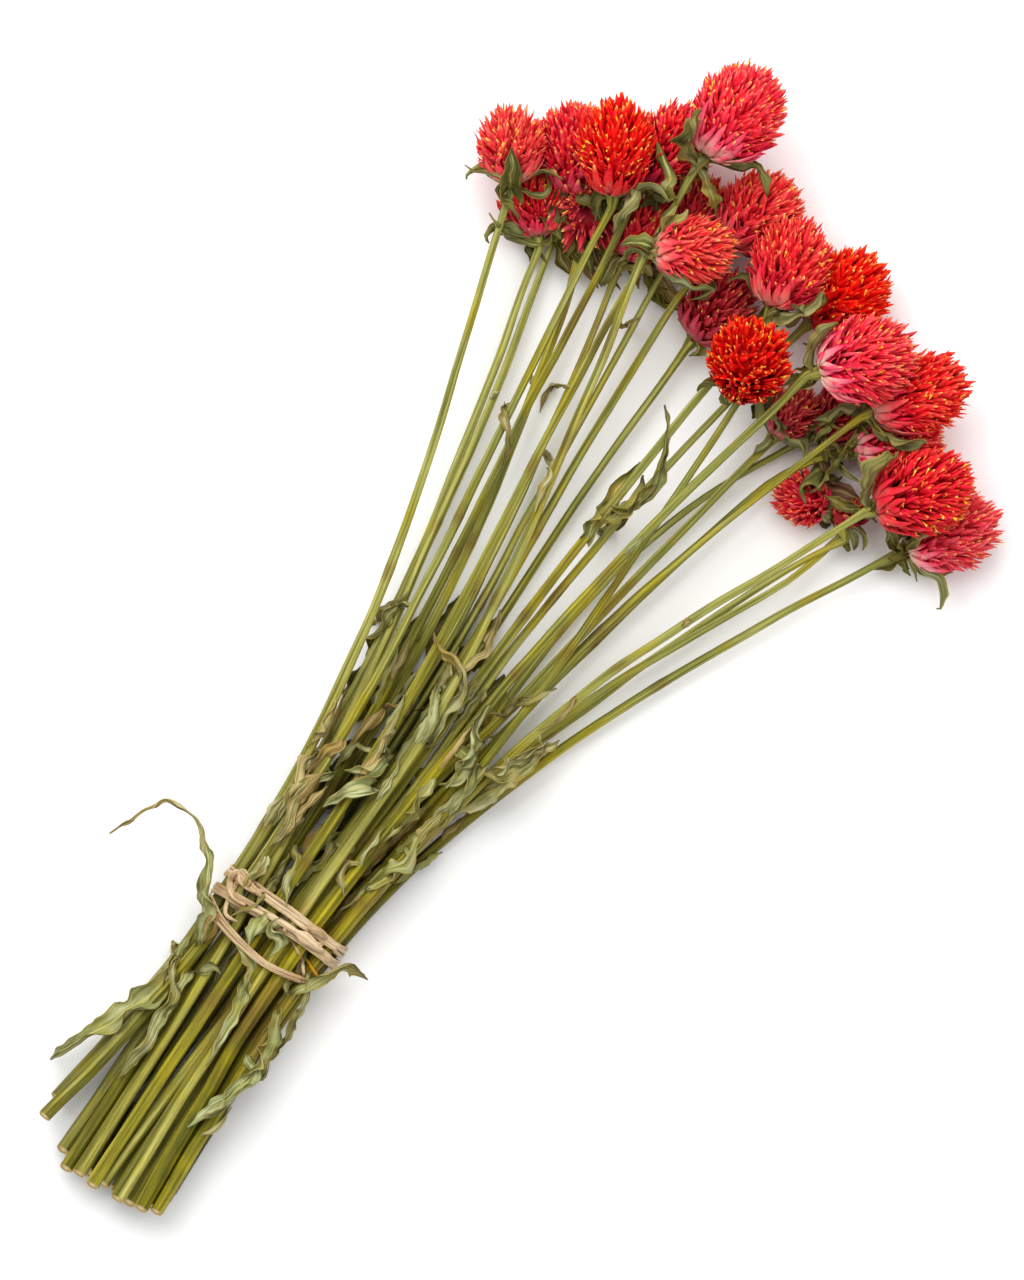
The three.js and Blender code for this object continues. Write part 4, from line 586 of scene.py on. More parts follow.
class Shape:
    """Closed shells in millimetres, with a material number for each face and values for each point."""

    VALUES = ("along", "rise", "tone", "brown", "pith", "across", "green", "blush", "pale", "cream")

    def __init__(self):
        self.points = []
        self.faces = []
        self.kinds = []
        self.smooth = []
        self.grain = []
        self.values = {name: [] for name in self.VALUES}
        self.count = 0

    def add(self, points, faces, kind=0, smooth=True, grain=None, **values):
        """Adds a closed shell, or several of one kind, and turns its faces outwards."""
        points = np.asarray(points, float).reshape(-1, 3)
        faces = np.asarray(faces, int).reshape(-1, 3)
        a, b, c = np.moveaxis((points - points.mean(0))[faces], 1, 0)
        if (a * np.cross(b, c)).sum() < 0:
            faces = faces[:, ::-1]
        self.points.append(points)
        self.faces.append(faces + self.count)
        self.kinds.append(np.full(len(faces), kind))
        self.smooth.append(np.broadcast_to(smooth, len(faces)))
        self.grain.append(np.zeros((len(points), 3)) if grain is None else np.asarray(grain, float))
        for name in self.VALUES:
            value = values.get(name, 0.0)
            self.values[name].append(np.broadcast_to(np.asarray(value, float), (len(points),)))
        self.count += len(points)

    def make(self, name, materials, replaced, slot):
        """The Blender object, which rides on the bunch and replaces a node."""
        faces = np.concatenate(self.faces)
        mesh = bpy.data.meshes.new(name)
        mesh.vertices.add(self.count)
        mesh.vertices.foreach_set("co", (np.concatenate(self.points) * MM).ravel())
        mesh.loops.add(faces.size)
        mesh.loops.foreach_set("vertex_index", faces.ravel())
        mesh.polygons.add(len(faces))
        mesh.polygons.foreach_set("loop_start", np.arange(len(faces)) * 3)
        mesh.polygons.foreach_set("material_index", np.concatenate(self.kinds))
        mesh.polygons.foreach_set("use_smooth", np.concatenate(self.smooth))
        mesh.update(calc_edges=True)
        for material in materials:
            mesh.materials.append(material)
        for key, parts in self.values.items():
            layer = mesh.attributes.new(key, "FLOAT", "POINT")
            layer.data.foreach_set("value", np.concatenate(parts))
        layer = mesh.attributes.new("grain", "FLOAT_VECTOR", "POINT")
        layer.data.foreach_set("vector", np.concatenate(self.grain).ravel())
        piece = add_to_scene(name, mesh)
        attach(piece, "root")
        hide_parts(replaced)


def grid_faces(rows, columns, closed):
    """Triangles between rows of points, with each row closed into a ring or left open."""
    steps = columns if closed else columns - 1
    row, column = np.meshgrid(np.arange(rows - 1), np.arange(steps), indexing="ij")
    a = row * columns + column
    b = row * columns + (column + 1) % columns
    c = a + columns
    d = b + columns
    return np.stack([a, b, d, a, d, c], -1).reshape(-1, 3)


def fan_faces(ring, centre):
    """Triangles from a ring of point numbers to a centre."""
    ring = np.asarray(ring)
    return np.stack([ring, np.roll(ring, -1), np.full(len(ring), centre)], -1)


def band_faces(first, second):
    """Triangles between two rings of point numbers."""
    a, b = np.asarray(first), np.roll(first, -1)
    c, d = np.asarray(second), np.roll(second, -1)
    return np.concatenate([np.stack([a, b, d], -1), np.stack([a, d, c], -1)])


def travel(path):
    """How far along a path each of its points is."""
    return np.concatenate([[0], np.cumsum(np.linalg.norm(np.diff(path[:, :3], axis=0), axis=1))])


def evenly(path, count):
    """The rows of a path at even steps along it."""
    travelled = travel(path)
    wanted = np.linspace(0, travelled[-1], count)
    return np.stack([np.interp(wanted, travelled, column) for column in path.T], -1)


STEPS_BETWEEN = 12  # from one given row to the next


def curve_through(points, count):
    """Rows on a smooth curve through the given rows of numbers, at even steps along it."""
    points = np.asarray(points, float)
    padded = np.vstack([2 * points[0] - points[1], points, 2 * points[-1] - points[-2]])
    fine = []
    for i in range(len(points) - 1):
        a, b, c, d = padded[i:i + 4]
        for t in np.linspace(0, 1, STEPS_BETWEEN, endpoint=False):
            fine.append(0.5 * (
                2 * b + (c - a) * t + (2 * a - 5 * b + 4 * c - d) * t * t
                + (3 * b - a - 3 * c + d) * t ** 3
            ))
    fine.append(points[-1])
    return evenly(np.array(fine), count)


def waves(random, count, reach, strength):
    """A smooth random curve of count numbers, about reach numbers from one bend to the next."""
    knots = random.normal(0, strength, max(int(count / reach), 2) + 3)
    x = np.linspace(0, len(knots) - 1.001, count)
    i = x.astype(int)
    t = x - i
    t = t * t * (3 - 2 * t)
    return knots[i] * (1 - t) + knots[np.minimum(i + 1, len(knots) - 1)] * t


def round_waves(random, count, strength, harmonics=5):
    """A smooth random curve of count numbers that ends where it starts."""
    angles = np.linspace(0, 2 * math.pi, count, endpoint=False)
    total = np.zeros(count)
    for k in range(1, harmonics + 1):
        total += random.normal(0, strength) * np.cos(k * angles + random.random() * 6)
    return total / math.sqrt(harmonics)


def smoothed(path, rounds=2):
    """A path with its corners rounded and its ends kept."""
    path = path.copy()
    for _ in range(rounds):
        path[1:-1] = (path[:-2] + 2 * path[1:-1] + path[2:]) / 4
    return path


# Reading the frame

def solid_of(name):
    """A node's points, merged where they coincide, and its triangles, in millimetres."""
    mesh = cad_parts[name].data
    mesh.calc_loop_triangles()
    points = np.zeros(len(mesh.vertices) * 3)
    mesh.vertices.foreach_get("co", points)
    points = points.reshape(-1, 3) / MM
    faces = np.zeros(len(mesh.loop_triangles) * 3, int)
    mesh.loop_triangles.foreach_get("vertices", faces)
    _, first, merged = np.unique(np.round(points, 2), axis=0, return_index=True, return_inverse=True)
    faces = merged.reshape(-1)[faces].reshape(-1, 3)
    return points[first], faces


def tree_of(solids):
    """One search tree for the surfaces of several solids."""
    points, faces, count = [], [], 0
    for solid_points, solid_faces in solids:
        points += [Vector(point) for point in solid_points]
        faces += (solid_faces + count).tolist()
        count += len(solid_points)
    return BVHTree.FromPolygons(points, faces)


HIGH_ABOVE = 200


def top_of(tree, x, y):
    """The height of the highest surface over a place in plan, or None."""
    hit = tree.ray_cast(Vector((x, y, HIGH_ABOVE)), Vector((0, 0, -1)), 2 * HIGH_ABOVE)
    return hit[0].z if hit[0] else None


def sections(solid, y):
    """The closed outlines in which a plane of constant y cuts a solid, each as its (x, z) points."""
    points, faces = solid
    side = points[:, 1] > y
    crossing = faces[(side[faces].sum(1) % 3) != 0]
    parent = {}

    def root(key):
        while parent[key] != key:
            key = parent[key]
        return key

    cuts = {}
    for face in crossing:
        keys = []
        for i in range(3):
            a, b = sorted((face[i], face[(i + 1) % 3]))
            if side[a] != side[b]:
                keys.append((a, b))
                if (a, b) not in cuts:
                    share = (y - points[a, 1]) / (points[b, 1] - points[a, 1])
                    cuts[a, b] = points[a] + (points[b] - points[a]) * share
                    parent[a, b] = (a, b)
        parent[root(keys[0])] = root(keys[1])
    outlines = {}
    for key, point in cuts.items():
        outlines.setdefault(root(key), []).append(point[[0, 2]])
    return [np.array(outline) for outline in outlines.values()]


FIRST_SECTION = 0.05  # from the cut end
SECTION_STEP = 6.0
WIDEST_SECTION = 1.3  # of a stem's width: a wider section has a leaf or bract in it
MOST_ASIDE = 4  # how far a section's middle may be from where the ones before it lead


def stem_path(solid, end_y):
    """The middle of a stem from its cut end up to a place along the bunch, read from its solid."""
    start_y = solid[0][:, 1].min()
    path = []
    for y in np.arange(start_y + FIRST_SECTION, end_y, SECTION_STEP):
        share = (y - start_y) / (end_y - start_y)
        radius = RADIUS_AT_CUT + (RADIUS_AT_NECK - RADIUS_AT_CUT) * share
        best = None
        for outline in sections(solid, y):
            low, high = outline.min(0), outline.max(0)
            if (high - low).max() > 2 * radius * WIDEST_SECTION or (high - low).min() < radius:
                continue
            middle = (low + high) / 2
            away = 0
            if path:
                expected = path[-1]
                if len(path) > 1:
                    slope = (path[-1] - path[-2]) / (path[-1][1] - path[-2][1])
                    expected = path[-1] + slope * (y - path[-1][1])
                away = np.hypot(*(middle - expected[[0, 2]]))
            if away < MOST_ASIDE and (best is None or away < best[0]):
                best = (away, np.array([middle[0], y, middle[1]]))
        if best:
            path.append(best[1])
    return np.array(path)


class Head:
    """A flower head read from its solid: where faces meet most are its base and its tip."""

    TIP_REACH = 0.77  # of half the length, from the middle to the tip of the solid's core
    WIDEST = 3  # this many of the solid's points, farthest from the axis, give its radius
    PRESSED = 0.66  # of the reach: a solid that ends below this was pressed in by its neighbours
    OVER_PRESSED = 1.06  # of such a solid's own reach
    FROM_OUTSIDE = 1.5  # times the reach, from where the solid is looked for

    def __init__(self, solid, stem_points):
        points, faces = solid
        meeting = np.bincount(faces.ravel(), minlength=len(points))
        poles = points[np.argsort(meeting)[-2:]]
        away = [np.linalg.norm(stem_points - pole, axis=1).min() for pole in poles]
        self.base, tip = poles if away[0] < away[1] else poles[::-1]
        self.axis = unit(tip - self.base)
        self.half = np.linalg.norm(tip - self.base) / (1 + self.TIP_REACH)
        self.centre = self.base + self.axis * self.half
        across = points - self.centre
        along = across @ self.axis
        from_axis = np.linalg.norm(across - np.outer(along, self.axis), axis=1)
        self.radius = np.sort(from_axis)[-self.WIDEST:].mean()
        self.upper = unit(np.array([0, 0, 1]) - self.axis * self.axis[2])
        self.right = np.cross(self.axis, self.upper)
        self.tree = tree_of([solid])

    def direction(self, from_axis, around):
        """The unit vector at an angle from the axis and an angle round it from the upper side."""
        around_axis = np.cos(around)[..., None] * self.upper + np.sin(around)[..., None] * self.right
        return np.cos(from_axis)[..., None] * self.axis + np.sin(from_axis)[..., None] * around_axis

    def reach(self, from_axis):
        """From the middle out to the tips of the bractlets."""
        return 1 / np.hypot(np.sin(from_axis) / self.radius, np.cos(from_axis) / self.half)

    def room(self, directions, reaches):
        """Shortens reaches to where the solid was pressed in by its neighbours."""
        shortened = reaches.copy()
        for i, (direction, reach) in enumerate(zip(directions, reaches)):
            far = self.centre + direction * reach * self.FROM_OUTSIDE
            hit = self.tree.ray_cast(Vector(far), Vector(-direction), reach * self.FROM_OUTSIDE)
            if hit[0] is None:
                continue
            solid_reach = reach * self.FROM_OUTSIDE - hit[3]
            if solid_reach < reach * self.PRESSED:
                shortened[i] = solid_reach * self.OVER_PRESSED
        return shortened


# Flower heads

GOLDEN_ANGLE = math.pi * (3 - math.sqrt(5))
LOWEST_TIP = 0.25  # over the surface
LOWEST_CORNER = 0.03  # of a bractlet
PER_STAR = 10  # corners of a star floret
STAR_RADIUS = 0.42
STAR_WAIST = 0.42  # of its radius, between its points
STAR_CUP = 0.28  # how far its points stand out
STAR_DEPTH = 2.2
CORE_SHARE = 0.6  # of a head's reach
CORE_ROWS = 14
CORE_COLUMNS = 22

# A bractlet's sections: where they are along it, their widths and heights as shares of its width, where
# they are highest as a share of half their width, and how far their inner side bulges as a share of their
# width
STATIONS = np.array([0.0, 0.3, 0.6, 0.84, 1.0])
STATION_WIDTHS = np.array([0.55, 0.95, 0.95, 0.6, 0.16])
STATION_KEELS = np.array([0.32, 0.42, 0.4, 0.28, 0.1])
SHOULDER = 0.4
BACK = 0.14

# A section's corners: two edges with two shoulders between them, and the middle of the inner side
SIDES = np.array([-1.0, -SHOULDER, SHOULDER, 1.0, 0.0])
KEELED = [0.0, 0.8, 0.8, 0.0, 0.0]
BRACTLET_GRAIN = (1.1, 0.8)
OWN_GRAIN = 900  # times a blade's own number, so that no two have the same streaks

# Bractlets and base petals: narrowest and widest, mean and spread of the bend inwards, spread of the
# bend sideways and of the twist
BRACTLET_SHAPES = ((1.6, 2.5), (0.03, 0.07), 0.06, 0.5)
PETAL_SHAPES = ((2.4, 3.6), (-0.17, 0.02), 0.03, 0.15)
BRACTLET_SPACING = 2.0  # between neighbouring bractlets' tips
BRACTLET_LENGTHS = (7.0, 10.5)
TIPWARDS = 0.8  # under 1, bractlets stand closer together towards the tip of a head
STANDING_OUT = 0.16  # of the bractlets
FLORET_CHANCE = 0.12
SCARLET_FLORET_CHANCE = 0.2
LOW_FLORET_CHANCE = 0.02
BASE_PETALS = 36
PETAL_KEEL = 0.45  # of a bractlet's height for its width


def blade_shapes(random, count, widths, recurve, sway, twist):
    """Random widths, bends inwards, bends sideways and twists."""
    return (
        random.uniform(*widths, count), random.normal(*recurve, count), random.normal(0, sway, count),
        random.normal(0, twist, count),
    )


def bractlets(shape, start, end, outward, side, shapes, values, keel_share=1.0):
    """Adds a rounded, tapering blade from each start to each end, as one batch.

    shapes holds each blade's width, its bend inwards, its bend sideways and its twist. keel_share makes
    the blades flatter.
    """
    width, recurve, sway, twist = shapes
    length = np.linalg.norm(end - start, axis=1)[:, None]
    direction = unit(end - start)
    side = unit(side - direction * dot(side, direction))
    side = np.where(dot(np.cross(direction, side), outward) < 0, -side, side)
    up = np.cross(direction, side)
    rings = []
    for station, wide, deep in zip(STATIONS, STATION_WIDTHS, STATION_KEELS):
        bow = -outward * length * recurve[:, None] * 4 * station * (1 - station)
        swing = side * length * sway[:, None] * math.sin(station * 1.5 * math.pi)
        middle = start + (end - start) * station + bow + swing
        across, over = turned(side, up, twist * station)
        half = across * (width * wide / 2)[:, None]
        keel = over * (width * deep * keel_share / 2)[:, None]
        back = over * (width * wide * BACK)[:, None]
        shoulder = half * SHOULDER
        rings.append(np.stack([
            middle - half, middle - shoulder + keel, middle + shoulder + keel, middle + half,
            middle - back,
        ], 1))
    points = np.concatenate(rings, 1)
    points[..., 2] = np.maximum(points[..., 2], LOWEST_CORNER)
    count, per_blade = points.shape[:2]
    stations = len(STATIONS)
    corners = per_blade // stations
    last = per_blade - corners
    faces = grid_faces(stations, corners, True)[:, ::-1].tolist()
    for i in range(1, corners - 1):
        faces += [[0, i, i + 1], [last, last + i + 1, last + i]]
    all_faces = np.array(faces)[None] + (np.arange(count) * per_blade)[:, None, None]
    along = np.tile(np.repeat(STATIONS, corners), count)
    keeled = np.tile(KEELED, stations * count)
    sides = np.tile(SIDES, stations * count)
    own = {name: np.repeat(value, per_blade) for name, value in values.items()}
    grain = np.stack([sides * BRACTLET_GRAIN[0], along * BRACTLET_GRAIN[1], own["tone"] * OWN_GRAIN], -1)
    shape.add(points, all_faces, grain=grain, along=along, across=keeled, **own)


def stars(shape, centres, directions, random):
    """Adds small five-pointed florets that face along their directions."""
    ring = np.arange(PER_STAR)
    pointed = ring % 2 == 0
    faces = np.concatenate([fan_faces(ring, PER_STAR), fan_faces(ring, PER_STAR + 1)[:, ::-1]])
    for centre, direction in zip(centres, directions):
        size = STAR_RADIUS * random.uniform(0.75, 1.2)
        direction = unit(direction + random.normal(0, 0.3, 3))
        side = unit(np.cross(direction, [0.3, 0.5, 0.8]))
        other = np.cross(direction, side)
        angles = ring * 2 * math.pi / PER_STAR + random.random() * 6
        reach = np.where(pointed, size, size * STAR_WAIST)
        rim = centre + np.outer(np.cos(angles) * reach, side) + np.outer(np.sin(angles) * reach, other)
        rim += np.outer(np.where(pointed, STAR_CUP, 0.0), direction)
        points = np.vstack([rim, centre + direction * 0.1, centre - direction * STAR_DEPTH])
        shape.add(points, faces, kind=1, smooth=False, along=1.0)


def core(shape, head):
    """Adds the heart of a head, behind its bractlets, dark with the painted shade of their roots."""
    from_axis = np.repeat(np.linspace(math.pi - 0.12, 0.12, CORE_ROWS), CORE_COLUMNS)
    around = np.tile(np.arange(CORE_COLUMNS) * 2 * math.pi / CORE_COLUMNS, CORE_ROWS)
    directions = head.direction(from_axis, around)
    reaches = head.room(directions, head.reach(from_axis)) * CORE_SHARE
    points = head.centre + directions * reaches[:, None]
    to_end = head.axis * head.half * CORE_SHARE
    count = CORE_ROWS * CORE_COLUMNS
    first = np.arange(CORE_COLUMNS)
    faces = np.concatenate([
        grid_faces(CORE_ROWS, CORE_COLUMNS, True), fan_faces(first, count)[:, ::-1],
        fan_faces(first + count - CORE_COLUMNS, count + 1),
    ])
    points = np.vstack([points, head.centre - to_end, head.centre + to_end])
    # along is left at 0, so the heart takes the bractlets' painted shade at their roots
    shape.add(points, faces, rise=0.5, tone=0.5)


def base_petals(shape, head, looks, random):
    """Broad, flat petals from the neck that lie on the lower side of the head, in two rows."""
    i = np.arange(BASE_PETALS)
    around = i * 2 * math.pi / BASE_PETALS + random.normal(0, 0.08, BASE_PETALS)
    from_base = np.where(i % 2, 0.8, 1.15) + random.normal(0, 0.14, BASE_PETALS)
    directions = head.direction(math.pi - from_base, around)
    reaches = head.room(directions, head.reach(math.pi - from_base))
    end = head.centre + directions * (reaches * random.uniform(0.92, 1.02, BASE_PETALS))[:, None]
    end[:, 2] = np.maximum(end[:, 2], LOWEST_TIP)
    neck = head.direction(np.full(BASE_PETALS, math.pi / 2), around)
    start = head.base + head.axis * 0.6 + neck * 1.2
    outward = head.direction(math.pi - from_base * 0.5, around)
    shapes = blade_shapes(random, BASE_PETALS, *PETAL_SHAPES)
    values = {name: np.full(BASE_PETALS, value) for name, value in looks.items()}
    values.update(rise=np.zeros(BASE_PETALS), tone=random.random(BASE_PETALS))
    bractlets(shape, start, end, outward, np.cross(head.axis, neck), shapes, values, PETAL_KEEL)


def flower_head(name, head, tint, seed):
    """Hundreds of papery bractlets that spring from the base and overlap towards the head's tip."""
    random = np.random.default_rng(seed)
    shape = Shape()
    core(shape, head)
    looks = dict(zip(("blush", "pale", "cream"), HEAD_LOOKS.get(name, PLAIN_LOOKS)))
    base_petals(shape, head, looks, random)
    area = 4 * math.pi * head.radius ** 2 * (1 + 0.6 * (head.half / head.radius - 1))
    count = int(area / BRACTLET_SPACING ** 2)
    i = np.arange(count)
    from_base = np.arccos(1 - 2 * ((i + 0.5) / count) ** TIPWARDS)
    from_base = np.clip(from_base + random.normal(0, 0.05, count), 0.5, math.pi - 0.02)
    around = i * GOLDEN_ANGLE + random.normal(0, 0.12, count)
    directions = head.direction(math.pi - from_base, around)
    reaches = head.room(directions, head.reach(math.pi - from_base))
    rise = (1 - np.cos(from_base)) / 2
    tone = random.random(count)
    stretch = random.uniform(0.86, 1.0, count) + 0.09 * (random.random(count) < STANDING_OUT)
    end = head.centre + directions * (reaches * stretch)[:, None]
    source = head.centre - head.axis * head.half * 0.95
    growing = unit(unit(end - source) + random.normal(0, 0.11, (count, 3)))
    depth = np.linalg.norm(end - source, axis=1)
    length = np.minimum(depth * 0.85, random.uniform(*BRACTLET_LENGTHS, count))
    start = end - growing * length[:, None]
    side = unit(np.cross(head.axis, directions + SLACK)) + random.normal(0, 0.35, (count, 3))
    shapes = blade_shapes(random, count, *BRACTLET_SHAPES)
    end[:, 2] = np.maximum(end[:, 2], LOWEST_TIP)
    start[:, 2] = np.maximum(start[:, 2], LOWEST_TIP * 2)
    values = {key: np.full(count, value) for key, value in looks.items()}
    values.update(rise=np.maximum(rise, 0.1), tone=tone)
    bractlets(shape, start, end, directions, side, shapes, values)
    usual = SCARLET_FLORET_CHANCE if tint == "scarlet" else FLORET_CHANCE
    chosen = random.random(count) < np.where(rise > 0.25, usual, LOW_FLORET_CHANCE)
    stars(shape, (start + (end - start) * 0.86)[chosen], unit(growing + directions)[chosen], random)
    materials = [MATERIALS[tint], MATERIALS["florets"]]
    shape.make(f"flower_head_{name}", materials, f"head_{name}", f"flower_{tint}")


# Stems

STEM_SIDES = 14
STEM_RING_STEP = 2.6
RIDGE = 0.06  # of the radius, that ridges stand out and grooves sink in
HIGHEST_RIDGE = 1.5  # times that
FLATTEST = 0.07  # of the radius
SWELLING = 0.1  # of the radius, at a joint
JOINT_REACH = 2.6
STEADY_END = 12  # along each end of a stem, where it wanders less and less
OBLIQUE = 0.5  # how far a cut leans back, for each millimetre of height
BARK = 0.74  # of a cut's radius, inside its bark
BARK_STEP = 0.08  # how deep the pith lies below the bark's rim
PITH_DEPTH = 0.25
PITH_SHADES = (0.62, 0.34, 1.0)  # at the rim, inside the bark and in the middle
STEM_GRAIN = (1.6, 0.028)  # noise lengths across and along, for long streaks
RADIUS_SHARES = [0.0, 0.28, 0.6, 1.0]
RADII = [2.02, 1.82, 1.36, 1.04]


def radii_along(path):
    """How thick a stem is along its path."""
    travelled = travel(path)
    return np.interp(travelled / travelled[-1], RADIUS_SHARES, RADII)


def frames_along(line):
    """The direction of a line at its points, and two directions across it that don't spin about it."""
    tangent = unit(np.gradient(line, axis=0))
    side = np.zeros_like(line)
    side[0] = unit(np.cross(tangent[0], [0.0, 0.0, 1.0]))
    for i in range(1, len(line)):
        side[i] = unit(side[i - 1] - tangent[i] * (side[i - 1] @ tangent[i]))
    return tangent, side, np.cross(side, tangent)


def tube(shape, path, radii, random, tone, joints=(), pale_ends=True):
    """Adds a ribbed tube along a path, closed at both ends. joints are shares of it where it swells."""
    travelled = travel(path)
    length = travelled[-1]
    rings = max(int(length / STEM_RING_STEP), 5)
    line = evenly(path, rings)
    wanted = np.linspace(0, length, rings)
    share = wanted / length
    radius = np.interp(wanted, travelled, radii) * (1 + waves(random, rings, 7, 0.035))
    joint = np.zeros(rings)
    for place_of_joint in joints:
        near = np.exp(-((share - place_of_joint) * length / JOINT_REACH) ** 2)
        radius = radius * (1 + SWELLING * near)
        joint = np.maximum(joint, near)
    tangent, side, up = frames_along(line)
    inside = np.clip(np.minimum(share, 1 - share) * length / STEADY_END, 0, 1)[:, None]
    line = line + side * waves(random, rings, 8, 0.16)[:, None] * inside
    line = line + up * waves(random, rings, 8, 0.12)[:, None] * inside
    angles = np.arange(STEM_SIDES) * 2 * math.pi / STEM_SIDES
    about = angles[None] + (np.linspace(0, random.normal(0, 1.2), rings) + random.random() * 6)[:, None]
    ridges = round_waves(random, STEM_SIDES, 1.2, harmonics=6) + random.normal(0, 0.35, STEM_SIDES)
    ridges = np.clip(ridges, -HIGHEST_RIDGE, HIGHEST_RIDGE)
    strength = np.interp(share, [0, 1], [1.1, 0.6]) + waves(random, rings, 12, 0.3)
    rib = 1 + RIDGE * ridges[None] * strength[:, None]
    flat = FLATTEST * random.random()
    around = (radius[:, None] * rib)[..., None] * (
        (1 + flat) * np.cos(about)[..., None] * side[:, None]
        + (1 - flat) * np.sin(about)[..., None] * up[:, None]
    )
    if pale_ends:
        around[0] += tangent[0] * around[0][:, 2:3] * OBLIQUE
        around[-1] -= tangent[-1] * around[-1][:, 2:3] * OBLIQUE
    surface = line[:, None] + around
    count = rings * STEM_SIDES
    faces = [grid_faces(rings, STEM_SIDES, True)]
    points = [surface.reshape(-1, 3)]
    for ring, sign in ((0, -1), (rings - 1, 1)):
        rim = surface[ring]
        out = tangent[ring] * sign
        middle = rim.mean(0)
        inner = middle + (rim - middle) * BARK - out * BARK_STEP
        rim_ring = np.arange(count, count + STEM_SIDES)
        inner_ring = rim_ring + STEM_SIDES
        count += 2 * STEM_SIDES + 1
        cap = np.concatenate([band_faces(rim_ring, inner_ring), fan_faces(inner_ring, count - 1)])
        faces.append(cap[:, ::-1] if ring == 0 else cap)
        points.append(np.vstack([rim, inner, middle - out * PITH_DEPTH]))
    capped = 2 * (2 * STEM_SIDES + 1)
    cut = np.repeat(PITH_SHADES, (STEM_SIDES, STEM_SIDES, 1))
    grain = np.stack([
        np.tile(np.cos(angles) * STEM_GRAIN[0], rings), np.tile(np.sin(angles) * STEM_GRAIN[0], rings),
        np.repeat(wanted * STEM_GRAIN[1], STEM_SIDES),
    ], -1) + random.random(3) * 40
    shape.add(
        np.vstack(points), np.concatenate(faces), tone=tone,
        smooth=np.arange(sum(map(len, faces))) < len(faces[0]),
        grain=np.vstack([grain, np.zeros((capped, 3))]),
        pith=np.concatenate([np.zeros(len(grain)), np.tile(cut, 2) if pale_ends else np.zeros(capped)]),
        across=np.append(np.tile(np.clip((ridges + 1) / 2, 0, 1), rings), np.full(capped, 0.5)),
        along=np.append(np.repeat(share, STEM_SIDES), np.zeros(capped)),
        brown=np.append(np.repeat(joint, STEM_SIDES), np.zeros(capped)),
    )


# Leaves and bracts

ON_SURFACE = 0.02  # the lowest that leaves and raffia lie
LEAF_THICKNESS = 0.3
THICKNESS_SHARES = (0.45, 0.55, 1.1)  # at its edges, more towards its middle, and on its midrib
MIDRIB = 0.14  # of half the width
CREASE = 0.05  # of the width
CREASES = 7.5  # how close together they lie
LEAF_GRAIN = (2.4, 0.05)
LEAF_ROW_STEP = 0.85
WIDE_LEAF = 3.4  # from here on a leaf has more points across it
BROAD_LEAF = 5.5  # from here on a leaf stays flatter and smoother
FEWEST_ROWS = 10
MOST_ROWS = 100
MOST_ROWS_WHERE_BROAD = 44
POINTED_SHARE = 0.3  # of a leaf's length, over which it narrows to its tip
LONGEST_POINT = 5.0
NARROWEST = 0.25
TIGHTEST = 2.6  # radians that a leaf's half may curl


def closed_sheet(surface, thickness):
    """A grid of points made into a closed sheet.

    Gives its points, its faces, which faces are smooth, and the grid point that each point comes from.
    """
    rows, columns = surface.shape[:2]
    normal = unit(np.cross(np.gradient(surface, axis=0), np.gradient(surface, axis=1)))
    upper = (surface + normal * thickness / 2).reshape(-1, 3)
    lower = (surface - normal * thickness / 2).reshape(-1, 3)
    count = rows * columns
    top = grid_faces(rows, columns, False)
    border = np.concatenate([
        np.arange(columns), np.arange(1, rows) * columns + columns - 1,
        (rows - 1) * columns + np.arange(columns - 2, -1, -1), np.arange(rows - 2, 0, -1) * columns,
    ])
    rim = np.arange(len(border)) + 2 * count
    faces = np.concatenate([top, top[:, ::-1] + count, band_faces(rim, rim + len(border))[:, ::-1]])
    points = np.vstack([upper, lower, upper[border], lower[border]])
    points[:, 2] = np.maximum(points[:, 2], ON_SURFACE)
    every = np.concatenate([np.arange(count), np.arange(count), border, border])
    return points, faces, np.arange(len(faces)) < 2 * len(top), every


